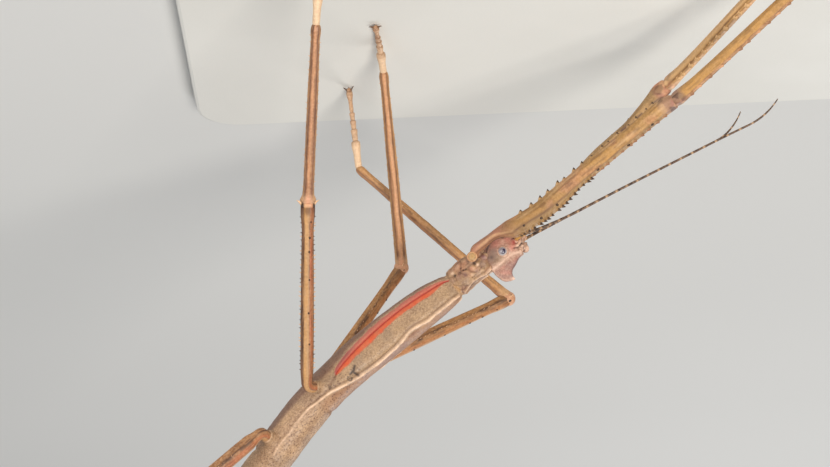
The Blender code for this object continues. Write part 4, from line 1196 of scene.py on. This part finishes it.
def limb(start, end, lead, sizes_table, profile, domes):
    """Tube of a limb from start to end, with lead stations before it; returns shares and angles."""
    straight = unit(end - start)
    length = np.linalg.norm(end - start)
    level, _ = limb_frame(straight)
    first = 0.0 if not lead else float(np.dot(lead[-1][0] - start, straight)) / length
    shares = np.arange(first + 0.3 / length, 1.0, LIMB_STEP / length)
    shares = np.append(shares, 1.0)
    points = np.array([*(p for p, _ in lead), *(start + straight * length * s for s in shares)])
    ways = np.array([*(w for _, w in lead), *(straight for _ in shares)])
    at = np.dot(points - start, straight) / length
    lead_count = len(lead)
    at[:lead_count] = np.minimum(at[:lead_count], first)
    across = unit(swung(level, np.broadcast_to(straight, ways.shape), ways))
    up = np.cross(ways, across)
    half_width, half_height, rise = eased(sizes_table, at)
    centres = points + up * rise[:, None]
    turn = np.radians((25, 45, 62, 76, 86))
    for end_at, dome in zip((0, -1), domes):
        if not dome:
            continue
        reach = dome * np.sin(turn) * (-1 if end_at == 0 else 1)
        pairs = (
            (centres, centres[end_at] + ways[end_at] * reach[:, None]),
            (across, np.tile(across[end_at], (len(turn), 1))),
            (up, np.tile(up[end_at], (len(turn), 1))),
            (half_width, half_width[end_at] * np.cos(turn)),
            (half_height, half_height[end_at] * np.cos(turn)),
            (at, at[end_at] + reach / length),
        )
        centres, across, up, half_width, half_height, at = (
            np.concatenate((new[::-1], old) if end_at == 0 else (old, new)) for old, new in pairs
        )
    made, row, angle = tube(
        centres, across, up, half_width, half_height, half_height, len(profile), profile
    )
    return made, at[row], angle


def bend(corner, before, after):
    """Points and directions round a corner."""
    turn = math.acos(float(np.clip(np.dot(before, after), -1, 1)))
    inward = unit(after - before * np.dot(before, after))
    start = corner - before * BEND_RADIUS * math.tan(turn / 2)
    stations = []
    for angle in turn * np.linspace(0.0, 1.0, 7):
        point = start + (before * math.sin(angle) + inward * (1 - math.cos(angle))) * BEND_RADIUS
        stations.append((point, before * math.cos(angle) + inward * math.sin(angle)))
    return stations


def both_edges(*row):
    """The same row of teeth on the front and the rear edge of a limb."""
    return tuple((angle, *row) for angle in (0, 180))


# Rows of teeth: angle round the limb, shares from and to, count, height, base radius, lean and tone
TEETH = {
    "front_femur": (
        (97, 0.19, 0.56, 17, 1.0, 0.5, 1.2, "dark"), (97, 0.58, 0.94, 11, 0.45, 0.7, 0.8, "soft"),
        (285, 0.25, 0.93, 16, 0.8, 0.75, 0.5, "spot"),
    ),
    "front_left_tibia": ((100, 0.09, 0.93, 16, 0.45, 0.8, 0.8, "lobe"),),
    "front_right_tibia": (
        (100, 0.09, 0.93, 16, 0.7, 0.9, 0.4, "pale"), (140, 0.12, 0.9, 9, 0.3, 0.3, 0.6, "soft"),
    ),
    "middle_femur": both_edges(0.1, 0.92, 34, 0.5, 0.24, 0.5, "mixed"),
    "middle_tibia": both_edges(0.09, 0.95, 24, 0.36, 0.2, 0.7, "pale"),
    "hind_femur": both_edges(0.1, 0.92, 34, 0.5, 0.24, 0.5, "mixed"),
    "hind_tibia": both_edges(0.09, 0.95, 24, 0.34, 0.2, 0.7, "pale"),
}
# Share of the femur, height, base radius and lean of the spurs at the knees
KNEE_SPUR = (0.98, 1.75, 0.5, 1.5)
KNEE_RADIUS = 1.62
# Round plate at the root of a fore leg, and how far out, behind and above the root its middle lies
PLATE_RADIUS = 1.1
PLATE_SHIFT = (1.25, 0.45, 0.16)
# Tones of the lower and the higher teeth of a row
MIXED_TONES = {"mixed": ("tip", "pale"), "lobe": ("blush", "soft")}


def tooth_masks(tone, share_up, ahead):
    """Masks of a tooth by the share of its height and the distance ahead of its middle."""
    if tone == "dark":
        return dict(dark=0.95 * step_at(share_up + 0.5 * ahead, 0.25, 0.5), brown=0.3)
    if tone == "spot":
        dark = step_at(share_up + 0.5 * ahead, 0.6, 0.75)
        return dict(dark=dark, pale=0.55 * (1 - dark))
    if tone == "soft":
        return dict(brown=0.6 * step_at(share_up, 0.0, 0.5), pink=0.2)
    if tone == "blush":
        return dict(pink=0.3, pale=0.2)
    if tone == "tip":
        return dict(dark=step_at(share_up, 0.3, 0.7) * 0.9, brown=0.5)
    return dict(pale=0.75, brown=0.3 * step_at(share_up, 0.7, 1.0))


def surface_at(start, end, table, share, angle):
    """Point on a limb at this share and angle, and the way out from there."""
    level, up = limb_frame(unit(end - start))
    half_width, half_height, rise = (float(v[0]) for v in eased(table, share))
    turn = math.radians(angle)
    out = level * math.cos(turn) * half_width + up * math.sin(turn) * half_height
    return start + (end - start) * share + out + up * rise, unit(out)


def teeth(start, end, table, rows, seed, mirrored):
    """Teeth in rows along a limb, each a little different."""
    straight = unit(end - start)
    made = []
    for row, (angle, first, last, count, height, radius, lean, tone) in enumerate(rows):
        angle = 180 - angle if mirrored and angle % 180 else angle
        for k, share in enumerate(np.linspace(first, last, count)):
            shift, size = (float(hashed(np.array((k, row, n)), seed)) for n in (7, 8))
            share = share + (shift - 0.5) * 0.5 * (last - first) / count
            surface, out = surface_at(start, end, table, share, angle)
            tip = surface + unit(out + straight * lean) * height * (0.6 + 0.6 * size)
            tooth, share_up = horn(surface - out * 0.35, tip, straight, radius, flat=0.6)
            one_tone = MIXED_TONES[tone][int(size > 0.45)] if tone in MIXED_TONES else tone
            tooth["masks"] = tooth_masks(one_tone, share_up, (tooth["points"] - surface) @ straight)
            made.append(tooth)
    return made


def knee_spurs(start, end, table):
    """Two pale curved spines at the end of a femur, one to each side."""
    straight = unit(end - start)
    share, height, radius, lean = KNEE_SPUR
    made = []
    for angle in (0, 180):
        surface, out = surface_at(start, end, table, share, angle)
        tip = surface + unit(out + straight * lean) * height
        spur, share_up = horn(
            surface - out * 0.5, tip, -straight, radius, flat=0.7, sides=10, rings=10, hook=0.45
        )
        spur["masks"] = dict(pale=0.95, brown=0.3 * step_at(share_up, 0.8, 1.0))
        made.append(spur)
    return made


# Marks of the limbs: share of the limb, angle round it and, for grains, strength
FORE_LINE = (
    (0.06, 50), (0.133, 37), (0.223, 24), (0.32, 31), (0.418, 43), (0.52, 58), (0.619, 63), (0.82, 60),
)
# Painted shade on the far fore femur where it faces the near one: share and angle of a broken dark brown
# band
FACING_SHADE_BAND = ((0.6, 176), (0.73, 177), (0.79, 159), (0.85, 145), (0.9, 142), (0.95, 120))
FORE_DOTS = (
    (0.234, 34, 0.5), (0.311, 58, 1), (0.394, 57, 1), (0.606, 75, 1), (0.761, 82, 1), (0.885, 73, 1),
)
REAR_DOTS = (
    (0.91, 118, 0.6), (0.825, 109, 1), (0.75, 104, 0.8), (0.6, 106, 0.6), (0.42, 100, 0.6), (0.25, 108, 0.6),
)
KNEE_PITS = ((0.991, 33, 0.8), (0.991, 150, 0.8))
KNEE_DOTS = ((0.05, 37), (0.05, 142))


def limb_marks(pair, part, side, at, angle, points, length, seed):
    """Masks of a limb by share of its length and angle round it, mirrored on the right side."""
    turn = (angle if side == "left" else 180 - angle) % 360
    turn = np.where(turn > 270, turn - 360, turn)
    around = np.radians(angle)
    swirl = np.stack((at * length / 4.5, 2.4 * np.cos(around), 2.4 * np.sin(around)), axis=-1)
    streak = soft_noise(swirl, 1.0, seed)
    fine_streak = soft_noise(swirl, 0.4, seed + 7)
    blotch = soft_noise(points, 2.6, seed + 1)
    streaked, fine_streaked = step_at(streak, 0.1, 0.6), step_at(fine_streak, 0.1, 0.5)
    between_ends = step_at(at, 0.03, 0.1) * step_at(at, 0.97, 0.9)
    turn = turn + 9 * soft_noise(swirl, 1.5, seed + 8) * between_ends
    knee_end = step_at(at, 0.93, 0.965) if part == "femur" else 1 - step_at(at, 0.04, 0.08)

    if (pair, part) == ("front", "femur"):
        line = np.interp(at, *zip(*FORE_LINE))
        above = step_at(turn, -75, -50) * (1 - step_at(turn, line - 6, line + 4))
        grown = step_at(at, 0.12, 0.26) * (1 - knee_end)
        warm = above * grown * np.clip(0.26 + 0.34 * blotch + 0.2 * streak, 0.0, 1.0)
        on_line = bump_at(turn, line, 6) * step_at(at, 0.1, 0.2) * step_at(at, 0.9, 0.8)
        masks = dict(
            warm=warm,
            olive=0.3 * (1 - above) * grown,
            pink=0.25 * step_at(at, 0.22, 0.1) + 0.18 * above * step_at(-blotch, 0.0, 0.5),
            plum=0.25 * step_at(at, 0.24, 0.1),
            pale=(0.3 * above + 0.12) * step_at(-streak, 0.2, 0.6),
            brown=(
                0.55 * on_line
                + 0.35 * streaked * (1 - above)
                + 0.45 * fine_streaked * above * grown
                + 0.25 * step_at(at, 0.6, 0.2)
            ),
        )
        if side == "right":
            # Painted shade: a broken dark brown band where the far fore femur faces the near one
            facing = np.interp(at, *zip(*FACING_SHADE_BAND))
            line = np.stack((at * length, 0 * at, 0 * at), axis=-1)
            shade = bump_at(turn, facing, 13) * step_at(soft_noise(line, 2.0, 9), -0.35, 0.0)
            shade = shade * step_at(at, 0.45, 0.6) * step_at(at, 0.97, 0.95)
            masks["brown"] = masks["brown"] + 0.9 * shade
            masks["dark"] = 0.3 * shade
    elif (pair, part) == ("front", "tibia"):
        top = step_at(turn, -75, -50) * step_at(turn, 66, 52)
        seam = bump_at(turn, 138, 12) + 0.7 * bump_at(turn, 112, 9)
        warm = (0.6 + 0.25 * blotch) * top + 0.3 * step_at(turn, 104, 120)
        masks = dict(
            warm=warm * (1 - knee_end),
            pink=0.22 * bump_at(turn, 84, 22),
            pale=0.3 * bump_at(turn, 170, 18) + 0.2 * bump_at(turn, 95, 12),
            olive=0.2 * step_at(blotch, 0.0, 0.4) * top,
            brown=0.6 * seam + 0.3 * streaked * (1 - top) + 0.4 * fine_streaked,
        )
        # Painted light: the far fore tibia lies in shade and is painted paler and warmer to lift it
        if side == "right":
            masks["pale"] = masks["pale"] + 0.45 * (1 - seam)
            masks["warm"] = masks["warm"] + 0.3
    elif part == "femur":
        band = step_at(turn, 48, 58) * step_at(turn, 106, 98)
        orange = step_at(turn, 104, 114) * step_at(turn, 160, 148) * (1.0 if side == "left" else 0.5)
        near_edge = 1 - step_at(np.abs(turn), 42, 54)
        far_edge = bump_at(turn, 176, 20)
        edges = np.maximum(near_edge, far_edge)
        masks = dict(
            pale=0.28 * band * (0.8 + 0.6 * fine_streak),
            warm=0.45 * band + (0.3 if side == "right" else 0.0),
            olive=0.15 * band,
            red=0.3 * orange * (0.8 + 0.5 * streak),
            plum=0.3 * near_edge * step_at(blotch, -0.1, 0.5),
            brown=0.5 * edges + 0.25 * orange + 0.35 * bump_at(turn, 104, 7) + 0.4 * fine_streaked,
            dark=0.5 * edges * step_at(streak + fine_streak, 0.1, 0.6),
        )
    else:
        band = bump_at(turn, 84, 18)
        stripes = np.maximum(bump_at(turn, 48, 13), bump_at(turn, 120, 13))
        edges = np.maximum(hump(turn, 22), bump_at(turn, 180, 22))
        dots = sum(
            hump(np.hypot((at - share) * length, np.radians(turn - place) * 1.5), 0.33)
            for share, place in KNEE_DOTS
        )
        masks = dict(
            warm=0.1 * band + (0.35 if side == "right" else 0.0),
            pale=0.25 * band + 0.2 * edges,
            plum=0.4 * stripes,
            pink=0.3 * band,
            brown=0.6 * stripes * (0.8 + 0.5 * streak) + 0.4 * fine_streaked,
            dark=dots + 0.4 * edges * step_at(streak + fine_streak, 0.3, 0.7),
        )
    if pair == "front":
        spots = step_at(soft_noise(points, 1.2, seed + 5), 0.15, 0.4)
        near = 1.0 if side == "left" else 0.4
        masks["grey"] = 0.55 * knee_end * near
        masks["plum"] = masks.get("plum", 0.0) + 0.3 * knee_end * step_at(-blotch, -0.1, 0.5)
        masks["pink"] = masks["pink"] + knee_end * (0.5 - 0.35 * near)
        masks["pale"] = masks["pale"] + 0.4 * knee_end * step_at(soft_noise(points, 1.0, seed + 6), 0.1, 0.4)
        masks["brown"] = masks["brown"] + 0.6 * knee_end * spots
        masks["dark"] = masks.get("dark", 0.0) + 0.35 * knee_end * spots
    else:
        rim = step_at(at, 0.984, 0.992) if part == "femur" else knee_end
        masks["pale"] = masks["pale"] * (1 - knee_end) + 0.45 * rim
        masks["brown"] = masks["brown"] * (1 - rim) + 0.35 * knee_end * (1 - rim)
        crescents = np.maximum(bump_at(turn, 30, 17), bump_at(turn, 158, 17))
        off_joint = at * length if part == "tibia" else (1 - at) * length
        masks["dark"] = masks["dark"] * (1 - rim) + crescents * bump_at(off_joint, 0.1, 0.5)
        masks["pink"] = masks.get("pink", 0.0) + 0.35 * rim * bump_at(turn, 90, 40)
    return clipped(masks)


def granules(start, end, table, spots, size, mirrored):
    """Low dark grains on a limb, at shares of its length and angles round it."""
    straight = unit(end - start)
    made = []
    for share, angle, strength in spots:
        surface, out = surface_at(start, end, table, share, 180 - angle if mirrored else angle)
        grain = ball_shell(
            surface - out * size * 0.45, size * (0.6 + 0.4 * strength), straight, stretch=1.2, rows=12
        )
        grain["masks"] = dict(dark=0.95, brown=0.3)
        made.append(grain)
    return made


def coxa_plate(place, root):
    """Round plate with a raised rim over the outer end of a fore leg's coxa."""
    _, forward, right, above = body_frame(LEGS[place]["at"])
    out = right if place.endswith("right") else -right
    outward, behind, over = PLATE_SHIFT
    middle = root + out * outward - forward * behind + above * over
    core = PLATE_RADIUS * 0.55
    plate = ball_shell(middle, core, out, stretch=1.0, rows=20)
    away = plate["points"] - middle
    ahead = (away @ out)[:, None] * out
    plate["points"] = middle + (away - ahead) * 1.6 + ahead * 0.6
    off = np.linalg.norm(away - ahead, axis=1) / core
    plate["masks"] = dict(
        warm=0.35 * step_at(off, 0.7, 0.2), pale=0.25 * bump_at(off, 0.5, 0.4), olive=0.5
    )
    rim = ring_shell(middle + out * 0.1, out, PLATE_RADIUS * 0.85, 0.2)
    rim["masks"] = dict(pale=0.3 + 0.35 * soft_noise(rim["points"], 0.6, 41), pink=0.25, brown=0.15)
    return [plate, rim]


def make_leg(place):
    """Femur and tibia of a leg with all that stands on them, and its foot."""
    pair, side = place.split("_")
    seed = 100 + 10 * list(LEGS).index(place)
    root, hip, knee, ankle = corners_of(place)
    coxa_way, femur_way, tibia_way = unit(hip - root), unit(knee - hip), unit(ankle - knee)
    fore, mirrored = pair == "front", side == "right"
    shells = []

    profile = keeled(LIMB_RING, **KEELS)
    lead = [(root - coxa_way * back, coxa_way) for back in (0.8, 0.3, 0.0)]
    lead += bend(hip, coxa_way, femur_way)
    limbs = (
        ("femur", hip, knee, lead, FEMUR_SECTIONS[place if fore else pair]),
        ("tibia", knee, ankle, [], TIBIA_SECTIONS[pair]),
    )
    for k, (part, start, end, before, table) in enumerate(limbs):
        made, at, angle = limb(start, end, before, table, profile, DOMES[part])
        points, length = made["points"], np.linalg.norm(end - start)
        made["masks"] = limb_marks(pair, part, side, at, angle, points, length, seed + 40 * k)
        made["points"] = points + soft_noise(points, 0.9, seed + k)[:, None] * 0.03
        shells.append(made)
        if part == "femur":
            spots, size = (FORE_DOTS, 0.3) if fore else (REAR_DOTS, 0.24)
            shells += granules(start, end, table, spots, size, mirrored)
        rows = TEETH.get(f"{place}_{part}") or TEETH[f"{pair}_{part}"]
        shells += teeth(start, end, table, rows, seed + 2 * k, mirrored)
    if fore:
        shells += coxa_plate(place, root)
    else:
        shells += knee_spurs(hip, knee, FEMUR_SECTIONS[pair])
        shells += granules(hip, knee, FEMUR_SECTIONS[pair], KNEE_PITS, 0.42, mirrored)
        if np.dot(femur_way, tibia_way) < 0.9:
            outer = unit(femur_way - tibia_way)
            cap = ball_shell(knee - outer * 0.2, KNEE_RADIUS, femur_way, stretch=1.0, rows=20)
            cap["masks"] = dict(pale=0.35, pink=0.3)
            shells.append(cap)
    paint = FORELEG_PAINT if fore else LEG_PAINT
    object_from(f"leg_{place}", shells, paint, [f"femur_{place}", f"tibia_{place}"])
    foot = foot_shells(place, foot_points(place, ankle))
    object_from(f"foot_{place}", foot, FOOT_PAINT, [f"tarsus_{place}"])


def foot_shells(place, points):
    """Five segments, a pad and two claws."""
    shells = []
    level = limb_frame(direction(LEGS[place]["foot"], 0.0))[0]
    for k, (start, end) in enumerate(zip(points, points[1:])):
        way = unit(end - start)
        length = np.linalg.norm(end - start)
        near, far = TARSUS_SIZES[k]
        shares = np.linspace(-0.12, 1.0, 26)
        base = ((-0.12, near * 0.3), (0.0, near * 0.75), (0.1, near * 0.95), (0.5, near))
        (sizes,) = eased((*base, (0.85, far), (0.95, far * 0.95), (1.0, far * 0.6)), shares)
        across = unit(level - way * np.dot(level, way))
        up = np.cross(way, across)
        centres = start + way * (shares * length)[:, None]
        made, row, _ = tube(centres, across, up, sizes, sizes * 0.88, sizes, count=24)
        at = shares[row]
        made["masks"] = dict(
            pale=TARSUS_TONES[k] * (1 - 0.6 * step_at(at, 0.7, 1.0)), brown=0.55 * step_at(at, 0.85, 1.0)
        )
        shells.append(made)
    tip = points[-1]
    way = unit(points[-1] - points[-2])
    up = np.cross(way, level)
    shells.append(ball_shell(tip + way * 0.1, PAD_RADIUS * 0.95, way, stretch=1.3, rows=14))
    for turn in (-1, 1):
        root = tip - way * 0.4 + level * turn * 0.25
        out = unit(way * 0.75 + level * turn * 0.65 + up * 0.15)
        claw, share = horn(root, root + out * CLAW_LENGTH, -UP, 0.3, flat=0.9, sides=10, rings=12, hook=-0.5)
        claw["masks"] = dict(dark=0.6 + 0.4 * share)
        shells.append(claw)
    return shells


# Base, floor, lights and camera


def paint_base():
    paint = Paint("board")
    broad = paint.between(paint.noise(14.0, 4.0), 0.3, 0.7)
    colour = paint.mix(broad, linear(0.90, 0.89, 0.86), linear(0.87, 0.86, 0.83))
    stipple = paint.noise(1400.0, 3.0, 0.6)
    rough = paint.between(paint.noise(60.0, 3.0), 0.3, 0.7, 0.52, 0.66)
    relief = paint.bump(stipple, 0.00005, 0.5)
    material = paint.set(base_color=colour, roughness=rough, normal=relief)
    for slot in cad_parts["stand_base"].material_slots:
        slot.material = material


FLOOR_REACH = 6.0


def make_floor():
    """Pale floor under the model."""
    paint = Paint("floor")
    colour = paint.mix(
        paint.between(paint.noise(3.0, 2.0), 0.3, 0.7), linear(0.86, 0.855, 0.84), linear(0.84, 0.835, 0.82)
    )
    material = paint.set(base_color=colour, roughness=0.9)
    mesh = bpy.data.meshes.new("floor")
    corners = ((-1, -1), (1, -1), (1, 1), (-1, 1))
    mesh.from_pydata([(FLOOR_REACH * x, FLOOR_REACH * y, 0.0) for x, y in corners], [], [(0, 1, 2, 3)])
    mesh.materials.append(material)
    floor = linked("floor", mesh)


SKY_COLOUR = (0.92, 0.95, 1.0, 1.0)
SKY_STRENGTH = 0.3
# Lamps by place, size, power and tint, all turned to one point of the insect
LIGHT_TARGET = (0.0, 0.02, 0.05)
LIGHTS = {
    "key": ((-0.22, -0.55, 0.55), 0.35, 4.6, (1.0, 0.97, 0.92)),
    "fill": ((0.45, -0.55, 0.2), 0.5, 1.6, (0.92, 0.96, 1.0)),
    "rim": ((-0.3, 0.6, 0.5), 0.3, 2.0, (1.0, 1.0, 1.0)),
}


def make_light(name, place, size, power, tint):
    """Round area light turned to the insect."""
    light = bpy.data.lights.new(name, "AREA")
    light.shape = "DISK"
    light.size = size
    light.energy = power
    light.color = tint
    obj = linked(name, light)
    obj.location = place
    obj.rotation_euler = (Vector(LIGHT_TARGET) - Vector(place)).to_track_quat("-Z", "Y").to_euler()


def make_stage():
    """Sky and lights."""
    world = bpy.data.worlds.new("studio")
    world.use_nodes = True
    background = world.node_tree.nodes["Background"]
    background.inputs["Color"].default_value = SKY_COLOUR
    background.inputs["Strength"].default_value = SKY_STRENGTH
    bpy.context.scene.world = world
    for name, settings in LIGHTS.items():
        make_light(name, *settings)


# Camera: place in the part's own millimetres, and the ways of its axes
CAMERA_PLACE = np.array((11.23, -535.57, 242.78))
CAMERA_RIGHT = (-0.9989, 0.0, 0.04699)
CAMERA_UP = (-0.04421, -0.33872, -0.93985)
CAMERA_BACK = (0.01592, -0.94089, 0.33835)
CAMERA_LENS = 120.5
CAMERA_SENSOR = 36.0


def make_camera():
    """Camera in the photo's place and roll."""
    camera = bpy.data.cameras.new("camera")
    camera.lens = CAMERA_LENS
    camera.sensor_width = CAMERA_SENSOR
    camera.clip_start = 0.01
    obj = linked("camera", camera)
    turn = Matrix((CAMERA_RIGHT, CAMERA_UP, CAMERA_BACK)).transposed()
    obj.matrix_world = Matrix.LocRotScale(
        Vector((CAMERA_PLACE + OFFSET) * MM), turn.to_quaternion(), None
    )
    bpy.context.scene.camera = obj


bpy.context.scene.view_settings.view_transform = "Standard"
make_camera()
make_stage()
make_floor()
paint_base()
make_body()
make_head()
make_eyes()
make_antennae()
for leg_place in LEGS:
    make_leg(leg_place)
